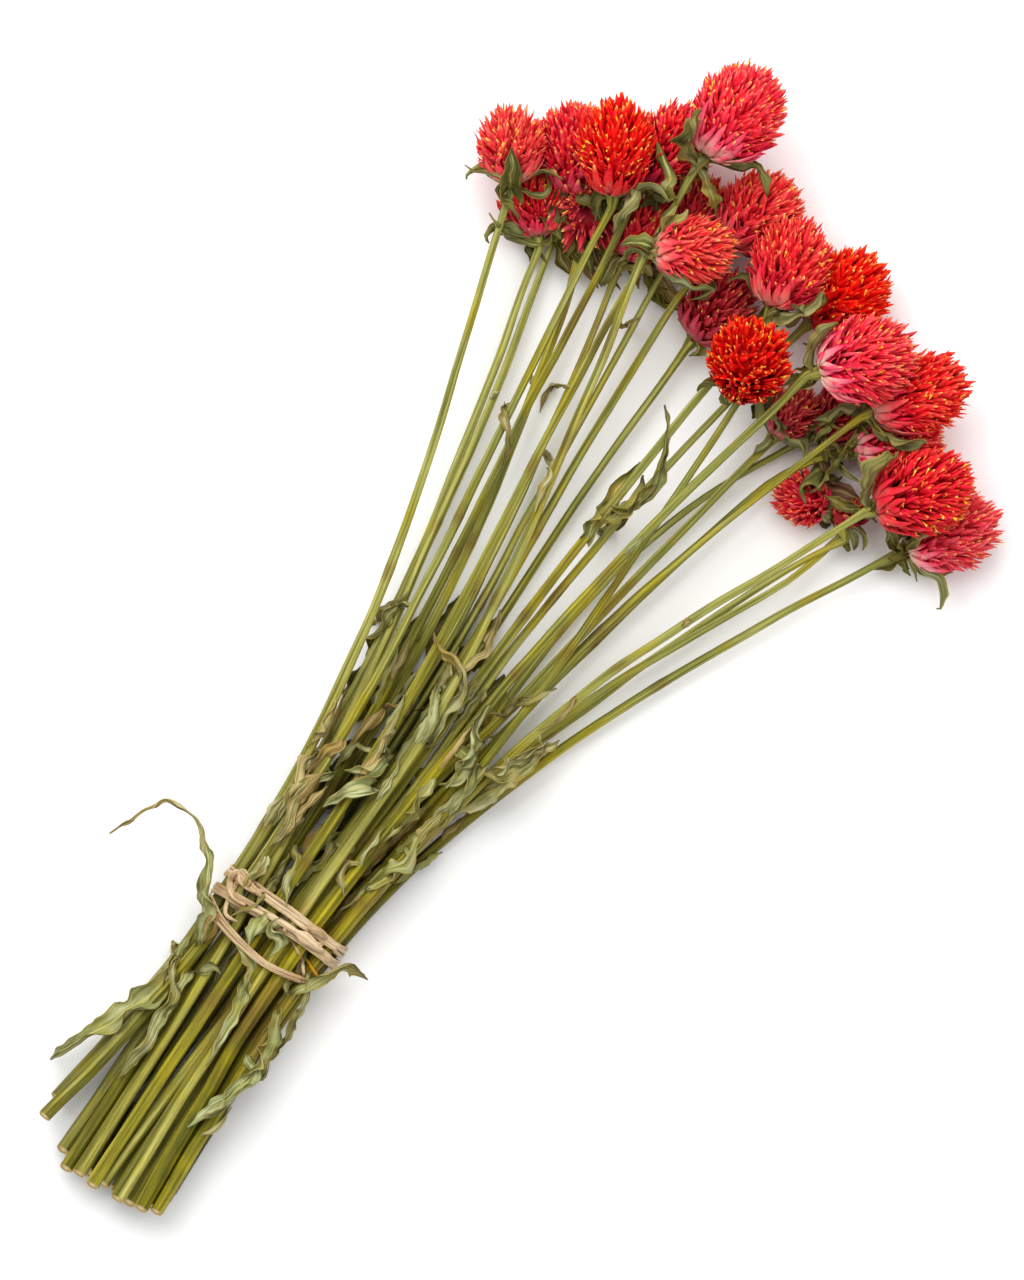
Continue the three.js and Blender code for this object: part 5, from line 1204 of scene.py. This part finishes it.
def leafy_blade(
    shape, spine, side, widths, random, curl, ripple, twist=0.0, rolled=1, fold=0.0, writhe=0.16,
    brown=0.0, dried=0.0, **values,
):
    """Adds a thin leaf along its spine, curled across, creased lengthwise and wavy at its edges.

    A leaf rolled by 1 has its edges up, and one rolled by -1 has them down. writhe is how far it turns to
    and fro about its spine, and dried how brown it is at its outer end.
    """
    length = travel(spine)[-1]
    most_rows = MOST_ROWS_WHERE_BROAD if max(widths) > BROAD_LEAF else MOST_ROWS
    rows = int(np.clip(length / LEAF_ROW_STEP, FEWEST_ROWS, most_rows))
    columns = 9 if max(widths) > WIDE_LEAF else 7
    packed = curve_through(np.column_stack([spine, side, widths]), rows)
    line, across = packed[:, :3], packed[:, 3:6]
    share = np.linspace(0, 1, rows)
    taper = np.clip((1.02 - share) / min(POINTED_SHARE, LONGEST_POINT / length), 0, 1) ** 0.8
    width = np.maximum(packed[:, 6] * taper * (1 + waves(random, rows, 4, 0.2)), NARROWEST)[:, None]
    tangent = unit(np.gradient(line, axis=0))
    across = unit(across - tangent * dot(across, tangent))
    up = np.cross(tangent, across)
    up = np.where(up[:, 2:3].mean() < 0, -up, up)
    off_root = np.minimum(np.linspace(0, 5, rows), 1)
    line = line + across * (waves(random, rows, 5, 0.25) * off_root)[:, None]
    line = line + up * (np.abs(waves(random, rows, 5, 0.3)) * off_root)[:, None]
    angle = share ** 1.4 * twist + waves(random, rows, 6, writhe)
    line = line + np.array([0, 0, 1]) * np.abs(np.sin(angle))[:, None] * width * 0.25
    across, up = turned(across, up, angle)
    u = np.linspace(-1, 1, columns)
    bend = np.clip(curl * (1 + waves(random, rows, 5, 0.4)), 0.05, TIGHTEST)[:, None]
    half = width / 2 * np.clip(bend / np.maximum(np.sin(np.minimum(bend, 1.4)), 0.3), 1, 1.7)
    reach = np.sin(u * bend) / bend * half
    rise = (1 - np.cos(u * bend)) / bend * half + fold * np.abs(u) * half
    creases = CREASE * np.cos(CREASES * u + waves(random, rows, 7, 1.0)[:, None])
    edges = [waves(random, rows, 3, ripple)[:, None] for _ in range(2)]
    flutter = np.where(u[None] < 0, *edges) * np.abs(u) ** 1.6
    rise = (rise + (creases + flutter) * width * 0.6) * rolled
    ragged = 1 + (np.abs(u) > 0.99) * waves(random, rows, 2, 0.06)[:, None]
    reach = reach * ragged
    surface = line[:, None] + across[:, None] * reach[..., None] + up[:, None] * rise[..., None]
    edge, more, midrib = THICKNESS_SHARES
    thick = edge + more * (1 - np.abs(u)) + midrib * np.exp(-(u / MIDRIB) ** 2)
    points, faces, smooth, every = closed_sheet(surface, (LEAF_THICKNESS * thick)[None, :, None])
    grain = np.stack([
        np.tile(u * LEAF_GRAIN[0], rows), np.repeat(travel(line) * LEAF_GRAIN[1], columns),
        np.full(rows * columns, random.random() * 50),
    ], -1)
    along = np.repeat(share, columns)[every]
    shape.add(
        points, faces, kind=1, smooth=smooth, grain=grain[every], along=along,
        across=np.tile(u, rows)[every], brown=np.clip(brown + dried * along ** 2, 0, 1), **values,
    )


BRACT_WIDTHS = {
    "hug": [1.8, 5.4, 6.4, 5.2, 4.0, 2.0],
    "spread": [1.8, 4.6, 5.4, 4.8, 3.6, 2.0],
    "hang": [1.8, 4.0, 4.4, 3.6, 2.0],
}
SPREAD_RISES = [0.35, 0.5, 0.2]  # of each third of a spreading bract
SMALL_BRACTS = 2  # dry ones at each neck
SMALL_BRACT = 0.55  # of the others' width
LOWEST_SPINE = 0.6


def bract_spine(head, degrees, way, length):
    """The middle of a bract, in the plane of the head's axis and its own direction, and its side."""
    angle = math.radians(degrees)
    out = head.upper * math.cos(angle) + head.right * math.sin(angle)

    def off(outwards, upwards):
        return head.base + out * outwards + head.axis * upwards

    def beside(from_base):
        reach = head.reach(math.pi - from_base) + 1.0
        return head.centre - head.axis * reach * math.cos(from_base) + out * reach * math.sin(from_base)

    spine = [off(0.7, -1.5)]
    if way == "hug":
        turn = length / head.radius
        spine += [beside(from_base) for from_base in (0.3, turn * 0.45, turn * 0.75, turn * 0.92)]
        spine.append(beside(turn) + out * 1.2)
    elif way == "hang":
        reach = min(6.2, length * 0.6)
        spine += [off(reach * 0.6, -0.8), off(reach, -length * 0.4), off(reach, -length * 0.75)]
        spine.append(off(reach * 0.85, -length))
    else:
        near = min(4, length / 3)
        third = (length - near) / 3
        spine.append(off(near, 0.2))
        for i, rise in enumerate(SPREAD_RISES):
            spine.append(off(near + third * (i + 1), 0.2 + rise * third * (i + 1)))
        spine.append(spine[-1] + (spine[-1] - spine[-2]) * 0.15 - head.axis * 0.8)
    return np.array(spine), np.cross(head.axis, out)


def add_bract(shape, head, bract, scale, random):
    degrees, way, length = bract
    spine, side = bract_spine(head, degrees, way, length)
    spine[2:] += random.normal(0, 0.03 * length, (len(spine) - 2, 3))
    spine[:, 2] = np.maximum(spine[:, 2], LOWEST_SPINE)
    leafy_blade(
        shape, spine, np.tile(side, (len(spine), 1)), np.array(BRACT_WIDTHS[way]) * scale, random,
        curl=random.uniform(0.3, 1.1), ripple=0.1, twist=random.normal(0, 0.5),
        fold=random.uniform(0.2, 0.6), green=random.uniform(0.55, 1.0), tone=random.random(),
        brown=0.25 * random.random() ** 2,
    )


def add_bracts(shape, name, head, random):
    """The bracts that the frame has, and a few small dry ones round the neck."""
    for bract in BRACTS[name]:
        add_bract(shape, head, bract, 1.0, random)
    for _ in range(SMALL_BRACTS):
        way = "hang" if random.random() < 0.6 else "spread"
        small = (random.uniform(-180, 180), way, random.uniform(4.5, 8.5))
        add_bract(shape, head, small, SMALL_BRACT, random)


STEEPEST = 0.8  # how fast a leaf may drop along its way
SPINE_STEP = 1.6
OVER_STEMS = 0.35
OVER_HEADS = 1.6
CLEAR_UNDER = 0.8  # a stem that is this much higher than a leaf's own solid lifts the leaf


def flat_sides(spine):
    """The level direction across a spine, at each of its points."""
    forward = np.gradient(spine[:, :2], axis=0)
    return unit(np.column_stack([-forward[:, 1], forward[:, 0], np.zeros(len(spine))]))


def resting_spine(way, widths, root, frame_tree=None):
    """A leaf's spine over its way in plan, resting on what lies below it, with its sides and widths."""
    rough = np.array([[*place(pixel), 0.0, width] for pixel, width in zip(way, widths)])
    count = max(int(travel(rough)[-1] / SPINE_STEP), 5)
    rows = curve_through(rough, count)
    heights = []
    for x, y, _, _ in rows:
        own = top_of(frame_tree, x, y) if frame_tree else None
        stem_top = top_of(STEM_TREE, x, y)
        head_top = top_of(HEAD_TREE, x, y)
        height = own - SOLID_BLADE / 2 if own else LOWEST_SPINE
        if stem_top and stem_top > height + CLEAR_UNDER:
            height = stem_top + OVER_STEMS
        if head_top:
            height = max(height, head_top + OVER_HEADS)
        heights.append(height)
    padded = np.concatenate([heights[:1], heights, heights[-1:]])
    heights = np.maximum(np.maximum(padded[:-2], padded[2:]), heights)
    step = travel(rows)[1]
    for i in range(1, count):
        heights[i] = max(heights[i], heights[i - 1] - STEEPEST * step)
    spine = np.column_stack([rows[:, :2], smoothed(heights, 3)])
    spine[0] = root
    return spine, flat_sides(rows), rows[:, 3]


def nearest_on(line, x, y):
    """The point of a stem's line nearest to a place in plan."""
    return line[np.argmin(np.hypot(line[:, 0] - x, line[:, 1] - y))]


def add_leaves(shape, name, frame_tree, line, random):
    """The leaves that the frame has on this stem."""
    for stem, way, widths, green, dried in LEAVES:
        if stem != name:
            continue
        root = nearest_on(line, *place(way[0]))
        spine, sides, wide = resting_spine(way, widths, root, frame_tree)
        leafy_blade(
            shape, spine, sides, wide, random, curl=random.uniform(1.0, 2.0), ripple=0.2,
            writhe=0.25 if max(widths) > BROAD_LEAF else 0.5,
            twist=random.normal(0, 0.9), green=green, tone=random.uniform(0.5, 1.0), dried=dried,
        )


SHRED_SHARES = [0, 0.3, 0.6, 1]
SHRED_WIDTHS = [0.5, 1, 1, 0.25]
NEARNESS = 2.5  # how much more a millimetre's distance counts than its height, where a leaf springs


def score(root, x, y):
    """How well a leaf over this place in plan springs from a stem at this root."""
    return root[2] - NEARNESS * np.hypot(root[0] - x, root[1] - y)


def add_shreds(shapes, lines, random):
    """Puts each of the finer leaves on the stem that is highest where it springs."""
    for way, width, green, brown in SHREDS:
        x, y = place(way[0])
        roots = {name: nearest_on(line, x, y) for name, line in lines.items()}
        name = max(roots, key=lambda key: score(roots[key], x, y))
        widths = width * np.interp(np.linspace(0, 1, len(way)), SHRED_SHARES, SHRED_WIDTHS)
        spine, sides, wide = resting_spine(way, widths, roots[name])
        leafy_blade(
            shapes[name], spine, sides, wide, random, curl=random.uniform(0.9, 2.2), ripple=0.25,
            twist=random.normal(0, 0.8), green=green, brown=brown, tone=random.uniform(0.4, 1.0),
            writhe=0.45, rolled=1 if random.random() < 0.7 else -1,
        )


BEHIND_WIDTHS = np.array([0.4, 0.8, 1, 1, 1, 0.9, 0.8, 0.5])


def add_behind(shapes, lines, random):
    """Puts the low leaves, petals and dark strips of painted shade, each on the stem that passes nearest
    to its root.
    """
    for way, width, height, green, brown, faded in LOW_PIECES_AND_SHADE_STRIPS:
        plan = np.array([[*place(pixel), height] for pixel in way])
        away = {name: np.linalg.norm(line - plan[0], axis=1) for name, line in lines.items()}
        name = min(away, key=lambda key: away[key].min())
        root = lines[name][np.argmin(away[name])]
        spine = curve_through(np.vstack([root, plan]), len(BEHIND_WIDTHS))
        leafy_blade(
            shapes[name], spine, flat_sides(spine), width * BEHIND_WIDTHS, random,
            curl=random.uniform(0.3, 1.2), ripple=0.3, twist=random.normal(0, 0.6), green=green,
            # low tones, which darken these pieces as painted shade
            brown=brown, blush=faded, tone=random.uniform(0.0, 0.3),
        )


LOWER_HALF = 0.52  # of a stem: dry strips are longer below this
STRIP_LIFTS = np.array([-0.5, 0.15, 0.3, 0.35, 0.4, 0.6])
STRIP_WIDTHS = np.array([0.5, 0.9, 1.0, 0.9, 0.7, 0.25])
STRIP_POINTS = len(STRIP_WIDTHS)
LOWEST_STRIP = 0.5


def add_clinging_leaves(shape, line, random):
    """Dry leaf stubs and strips that cling to a stem, most of them in the lower half."""
    total = travel(line)[-1]
    dense = evenly(line, int(total))
    radii = radii_along(dense)
    tangent = unit(np.gradient(dense, axis=0))
    starts = np.concatenate([random.uniform(0.3, LOWER_HALF, 2), random.uniform(0.1, 0.92, 1)])
    for start in starts:
        long = start < LOWER_HALF
        length = random.uniform(8, 22) if long else random.uniform(3, 8)
        steps = np.linspace(0, length, STRIP_POINTS).astype(int)
        picks = np.clip(int(start * total) + steps, 0, len(dense) - 9)
        side = unit(np.cross(tangent[picks], [0.0, 0.0, 1.0]))
        up = np.cross(side, tangent[picks])
        tilt = random.normal(0, 0.7) + np.linspace(0, random.normal(0, 0.5), STRIP_POINTS)
        out = turned(up, side, tilt)[0]
        lift = STRIP_LIFTS + random.uniform(0, 0.5)
        spine = dense[picks] + out * (radii[picks] + lift)[:, None]
        spine += np.linspace(0, 1, STRIP_POINTS)[:, None] ** 2 * side * random.normal(0, 1.2)
        spine[:, 2] = np.maximum(spine[:, 2], LOWEST_STRIP)
        width = random.uniform(1.8, 3.6) if long else random.uniform(1.2, 2.0)
        leafy_blade(
            shape, spine, np.cross(tangent[picks], out), width * STRIP_WIDTHS, random,
            curl=random.uniform(0.9, 1.7), ripple=0.12, rolled=-1, twist=random.normal(0, 0.7),
            green=random.uniform(0.0, 0.5), tone=random.uniform(0.2, 1.0),
            brown=random.random() ** 2 * 0.8,
        )


BRANCH_POINTS = 20
BRANCH_KNOTS = [0, 3, 13, 16, 19]
BRANCH_RADII = [0.6, 1.15, 1.0, 1.4, RECEPTACLE_RADIUS]


def flowering_stem(name, head, solid, shape, random):
    """Adds a stem with its swollen top, bracts and leaves to its shape, and returns its line."""
    tone = random.random()
    girth = random.uniform(0.86, 1.02)
    neck = head.base - head.axis * RECEPTACLE_LENGTH
    if name in FORKED:
        path = stem_path(solid, place(BROKEN_END)[1] - 0.2)
        end = path[-1]
        joint = end + (neck - end) * 0.4
        line = smoothed(np.vstack([path[:-2], joint]))
        tube(shape, line, radii_along(line) * girth, random, tone, (0.98,))
        branch = curve_through([end, joint, neck, head.base + head.axis], BRANCH_POINTS)
        radii = np.interp(np.arange(BRANCH_POINTS), BRANCH_KNOTS, BRANCH_RADII)
        tube(shape, branch, radii, random, 0.1, (0.3,), False)
    else:
        path = smoothed(np.vstack([stem_path(solid, neck[1] - 3), neck]))
        line = np.vstack([path, head.base - head.axis, head.base + head.axis * 1.2])
        radii = radii_along(line) * girth
        radii[-3:] = [RADIUS_AT_NECK, 2.0, RECEPTACLE_RADIUS]
        tube(shape, line, radii, random, tone, (random.uniform(0.3, 0.42), random.uniform(0.6, 0.72)))
    line = evenly(line, int(travel(line)[-1]))
    add_bracts(shape, name, head, random)
    add_leaves(shape, name, tree_of([solid]), line, random)
    add_clinging_leaves(shape, line, random)
    return line


# Raffia

TIE_PIXEL = (275, 921)
RAFFIA_SEED = 77
RAFFIA_ROWS = 110
RAFFIA_COLUMNS = 7
RAFFIA_GRAIN = (1.8, 0.04)
OUTER_SIDE = 0.14  # from a strand's path out to its folded side
INNER_SIDE = 0.2  # and in to its flatter side
FOLDED = 0.5  # how much of the outer side's folds the inner side has
AROUND_STEMS = 1.95  # from the stems' middles
LOWEST_TURN = 0.55  # over the surface
CONVERGING = 0.4  # how much closer a turn's strands lie at the right of its upper side
STRAND_STEP = 0.8
STRAND_OVER_STEMS = 0.6

# Each turn: its place along the bunch from the tie's middle at the left, the middle and the right, the
# distance outside the stems, and how far apart its strands are
TURNS = [
    (3.8, 4.6, 4.6, 0.6, 1.2),
    (-2.6, 0.2, 0.0, 0.9, 1.15),
    (-6.4, -11.8, -6.6, 0.6, 1.1),
]

# Loose strands: pixels along the middle, width, lowest height, and how yellow
LOOSE_STRANDS = [
    ([(262, 896), (250, 884), (238, 872), (230, 880), (233, 896), (246, 905)], 1.7, 13.0, 0.0),
    ([(254, 892), (240, 882), (234, 888), (228, 900), (226, 914), (238, 922)], 1.5, 12.0, 0.0),
    ([(268, 890), (252, 890), (240, 880), (243, 870), (250, 880), (256, 896)], 1.3, 15.0, 0.0),
    ([(228, 898), (236, 906), (250, 908), (264, 914)], 1.6, 13.0, 0.0),
    ([(268, 914), (288, 926), (306, 938), (323, 951)], 2.6, 12.0, 0.0),
    ([(280, 916), (300, 926), (318, 930), (325, 938), (318, 946)], 2.0, 12.0, 0.0),
    ([(284, 928), (294, 944), (302, 960), (304, 976)], 1.0, 10.0, 0.0),
    ([(306, 958), (311, 966), (318, 976)], 0.7, 8.0, 1.0),
]


def support(lines, y, angles):
    """How far the stems reach in each direction across the bunch, at y."""
    spots = np.array([
        (np.interp(y, line[:, 1], line[:, 0]), np.interp(y, line[:, 1], line[:, 2]))
        for line in lines if line[0, 1] < y < line[-1, 1]
    ])
    reaches = np.outer(np.cos(angles), spots[:, 0]) + np.outer(np.sin(angles), spots[:, 1])
    return reaches.max(1) + AROUND_STEMS


def rounded(ring, rounds):
    """A closed row of numbers or points with its corners rounded."""
    for _ in range(rounds):
        ring = (np.roll(ring, 1, 0) + 2 * ring + np.roll(ring, -1, 0)) / 4
    return ring


def turn_path(lines, tie, turn, random, apart):
    """A closed path round the bunch, outside the stems, that bows along the bunch on its upper side."""
    left, middle, right, outside, _ = turn
    angles = np.linspace(0, 2 * math.pi, RAFFIA_ROWS, endpoint=False)
    reach = rounded(support(lines, tie[1], angles) + outside, 2)
    slope = (np.roll(reach, -1) - np.roll(reach, 1)) / (2 * (angles[1] - angles[0]))
    x = reach * np.cos(angles) - slope * np.sin(angles)
    z = reach * np.sin(angles) + slope * np.cos(angles)
    share = np.clip((x - x.min()) / (x.max() - x.min()), 0, 1)
    over = np.clip((z - z.min()) / (z.max() - z.min()) * 3 - 1, 0, 1)
    sag = (middle - (left + right) / 2) * 4 * share * (1 - share) * over
    y = tie[1] + left + (right - left) * share + sag + apart * (1 - CONVERGING * share * over)
    y += round_waves(random, RAFFIA_ROWS, 0.3)
    return rounded(np.stack([x, y, np.maximum(z, LOWEST_TURN)], -1), 3)


def end_faces(rows, columns):
    """The faces that close both ends of an open strand with as many columns on each side."""
    around = columns * 2
    faces = []
    for start, flipped in ((0, True), ((rows - 1) * around, False)):
        for i in range(columns - 1):
            a, b = start + i, start + i + 1
            c, d = start + around - 1 - i, start + around - 2 - i
            pair = [[a, b, d], [a, d, c]]
            faces += [face[::-1] for face in pair] if flipped else pair
    return faces


def ribbon(shape, path, out, width, random, closed, **values):
    """Adds a flat strand with lengthwise folds, round a closed path or along an open one."""
    rows, columns = len(path), RAFFIA_COLUMNS
    tangent = unit(np.roll(path, -1, 0) - np.roll(path, 1, 0) if closed else np.gradient(path, axis=0))
    out = unit(out - tangent * dot(out, tangent))
    roll = round_waves(random, rows, 0.3) if closed else waves(random, rows, 7, 0.35)
    across, out = turned(np.cross(out, tangent), out, roll)
    u = np.linspace(-1, 1, columns)
    swelling = round_waves(random, rows, 0.2) if closed else waves(random, rows, 6, 0.15)
    spread = width / 2 * (1 + swelling)
    if not closed:
        spread = spread * np.interp(np.linspace(0, 1, rows), [0, 0.1, 0.85, 1], [0.7, 1, 1, 0.6])
    folds = random.normal(0, 0.09, columns) + 0.1 * np.cos(u * 6)
    crown = 0.42 * (1 - u ** 2)
    lift = ((folds + crown) * min(width / 1.6, 1.2))[None, :, None]
    surface = path[:, None] + across[:, None] * (spread[:, None] * u[None])[..., None]
    top = surface + out[:, None] * (lift + OUTER_SIDE)
    bottom = surface + out[:, None] * (lift * FOLDED - INNER_SIDE)
    ring = np.concatenate([top, bottom[:, ::-1]], 1)
    ring[..., 2] = np.maximum(ring[..., 2], ON_SURFACE)
    around = columns * 2
    first = np.arange(around)
    ends = band_faces(first + (rows - 1) * around, first) if closed else end_faces(rows, columns)
    grain = np.stack([
        np.tile(np.concatenate([u, u[::-1]]) * RAFFIA_GRAIN[0], rows),
        np.repeat(travel(path) * RAFFIA_GRAIN[1], around), np.full(rows * around, random.random() * 50),
    ], -1)
    shape.add(ring, np.concatenate([grid_faces(rows, around, True), ends]), grain=grain, **values)


def raffia(lines):
    """Three turns of three strands each, a small knot at the left, and loose ends."""
    random = np.random.default_rng(RAFFIA_SEED)
    shape = Shape()
    tie = place(TIE_PIXEL)
    for turn in TURNS:
        for strand in (-1, 0, 1):
            path = turn_path(lines, tie, turn, random, strand * turn[4])
            out = (path - path.mean(0)) * [1, 0, 1]
            path = path + unit(out) * random.uniform(0.0, 0.3)
            width = random.uniform(1.0, 1.5)
            ribbon(shape, path, out, width, random, True, tone=random.random())
    for way, width, lowest, yellow in LOOSE_STRANDS:
        rough = np.array([[*place(pixel), 0.0] for pixel in way])
        path = curve_through(rough, max(int(travel(rough)[-1] / STRAND_STEP), 8))
        heights = []
        for x, y, _ in path:
            over = top_of(STEM_TREE, x, y)
            heights.append(max(over + STRAND_OVER_STEMS if over else 0, lowest))
        path[:, 2] = smoothed(np.array(heights), 3) + random.uniform(0.2, 0.9)
        up = np.tile([0.0, 0.0, 1.0], (len(path), 1))
        ribbon(shape, path, up, width, random, False, tone=random.random(), brown=yellow)
    shape.make("raffia_strands", [MATERIALS["raffia"]], "raffia_tie", "raffia")


# The whole bunch

MATERIALS = {tint: petal_material(tint) for tint in TINTS}
MATERIALS["florets"] = floret_material()
MATERIALS["stem"] = stem_material()
MATERIALS["leaf"] = leaf_material()
MATERIALS["raffia"] = raffia_material()

STEM_SOLIDS = {name: solid_of(f"stem_{name}") for name in NAMES}
HEAD_SOLIDS = {name: solid_of(f"head_{name}") for name in NAMES}
STEM_TREE = tree_of([*STEM_SOLIDS.values(), solid_of("raffia_tie")])
HEAD_TREE = tree_of(HEAD_SOLIDS.values())

FIRST_STEM_SEED = 100
FIRST_HEAD_SEED = 200
SHREDS_SEED = 55
BEHIND_SEED = 56


def bunch():
    """Makes every stem, head and strand."""
    shapes, lines = {}, {}
    for number, name in enumerate(NAMES):
        head = Head(HEAD_SOLIDS[name], STEM_SOLIDS[name][0])
        shapes[name] = Shape()
        random = np.random.default_rng(FIRST_STEM_SEED + number)
        lines[name] = flowering_stem(name, head, STEM_SOLIDS[name], shapes[name], random)
        tint = next(tint for tint, names in TINTS.items() if name in names)
        flower_head(name, head, tint, FIRST_HEAD_SEED + number)
    add_shreds(shapes, lines, np.random.default_rng(SHREDS_SEED))
    add_behind(shapes, lines, np.random.default_rng(BEHIND_SEED))
    materials = [MATERIALS["stem"], MATERIALS["leaf"]]
    for name, shape in shapes.items():
        shape.make(f"flowering_stem_{name}", materials, f"stem_{name}", "stem")
    raffia(lines.values())


# Floor, light and camera

FLOOR_REACH = 4.0  # metres, from its middle to each side
FLOOR_WHITE = (0.98, 0.98, 0.98, 1)
WORLD_STRENGTH = 0.48
LIGHT_DISTANCE = 1.8  # metres

# Lights: name, direction as seen in the photograph (right, up and towards its camera), metres across
# and watts
LIGHTS = [
    ("window", (-0.3, 0.9, 1.45), 1.7, 26.8),
    ("fill", (0.9, 0.1, 1.3), 1.6, 7.0),
]
CAMERA_DISTANCE = 6.0  # metres
TRUE_HEIGHT = 0.015  # metres over the surface, where a pixel is as large as on the photograph


def floor():
    mesh = bpy.data.meshes.new("floor")
    corners = [(x * FLOOR_REACH, y * FLOOR_REACH, 0) for x, y in ((-1, -1), (1, -1), (1, 1), (-1, 1))]
    mesh.from_pydata(corners, [], [(0, 1, 2, 3)])
    paint = Paint("white_surface", Base_Color=FLOOR_WHITE, Roughness=0.9, Specular_IOR_Level=0.1)
    mesh.materials.append(paint.material)
    ground = add_to_scene("floor", mesh)


def area_light(name, towards, size, power):
    """A square light that shines on the bunch from a direction as seen in the photograph."""
    data = bpy.data.lights.new(name, "AREA")
    data.size = size
    data.energy = power
    light = add_to_scene(name, data)
    right, up, high = towards
    cos, sin = math.cos(BUNCH_LEAN), math.sin(BUNCH_LEAN)
    direction = Vector((right * cos - up * sin, right * sin + up * cos, high)).normalized()
    light.location = direction * LIGHT_DISTANCE
    light.rotation_mode = "QUATERNION"
    light.rotation_quaternion = direction.to_track_quat("Z", "Y")


def surroundings():
    world = bpy.data.worlds.new("studio")
    world.use_nodes = True
    background = world.node_tree.nodes["Background"]
    background.inputs["Color"].default_value = (1, 1, 1, 1)
    background.inputs["Strength"].default_value = WORLD_STRENGTH
    bpy.context.scene.world = world
    for light in LIGHTS:
        area_light(*light)


def camera():
    data = bpy.data.cameras.new("camera")
    data.sensor_width = 36.0
    data.sensor_fit = "AUTO"
    frame_height = IMAGE_HEIGHT * MM_PER_PIXEL * MM
    data.lens = data.sensor_width * (CAMERA_DISTANCE - TRUE_HEIGHT) / frame_height
    data.clip_start = 0.1
    data.clip_end = 100.0
    view = add_to_scene("camera", data)
    view.location = (*(place((IMAGE_WIDTH / 2, IMAGE_HEIGHT / 2)) * MM), CAMERA_DISTANCE)
    view.rotation_euler = (0, 0, BUNCH_LEAN)
    bpy.context.scene.camera = view


bunch()
floor()
surroundings()
camera()
bpy.context.scene.view_settings.view_transform = "Standard"
bpy.context.scene.view_settings.look = "Medium High Contrast"
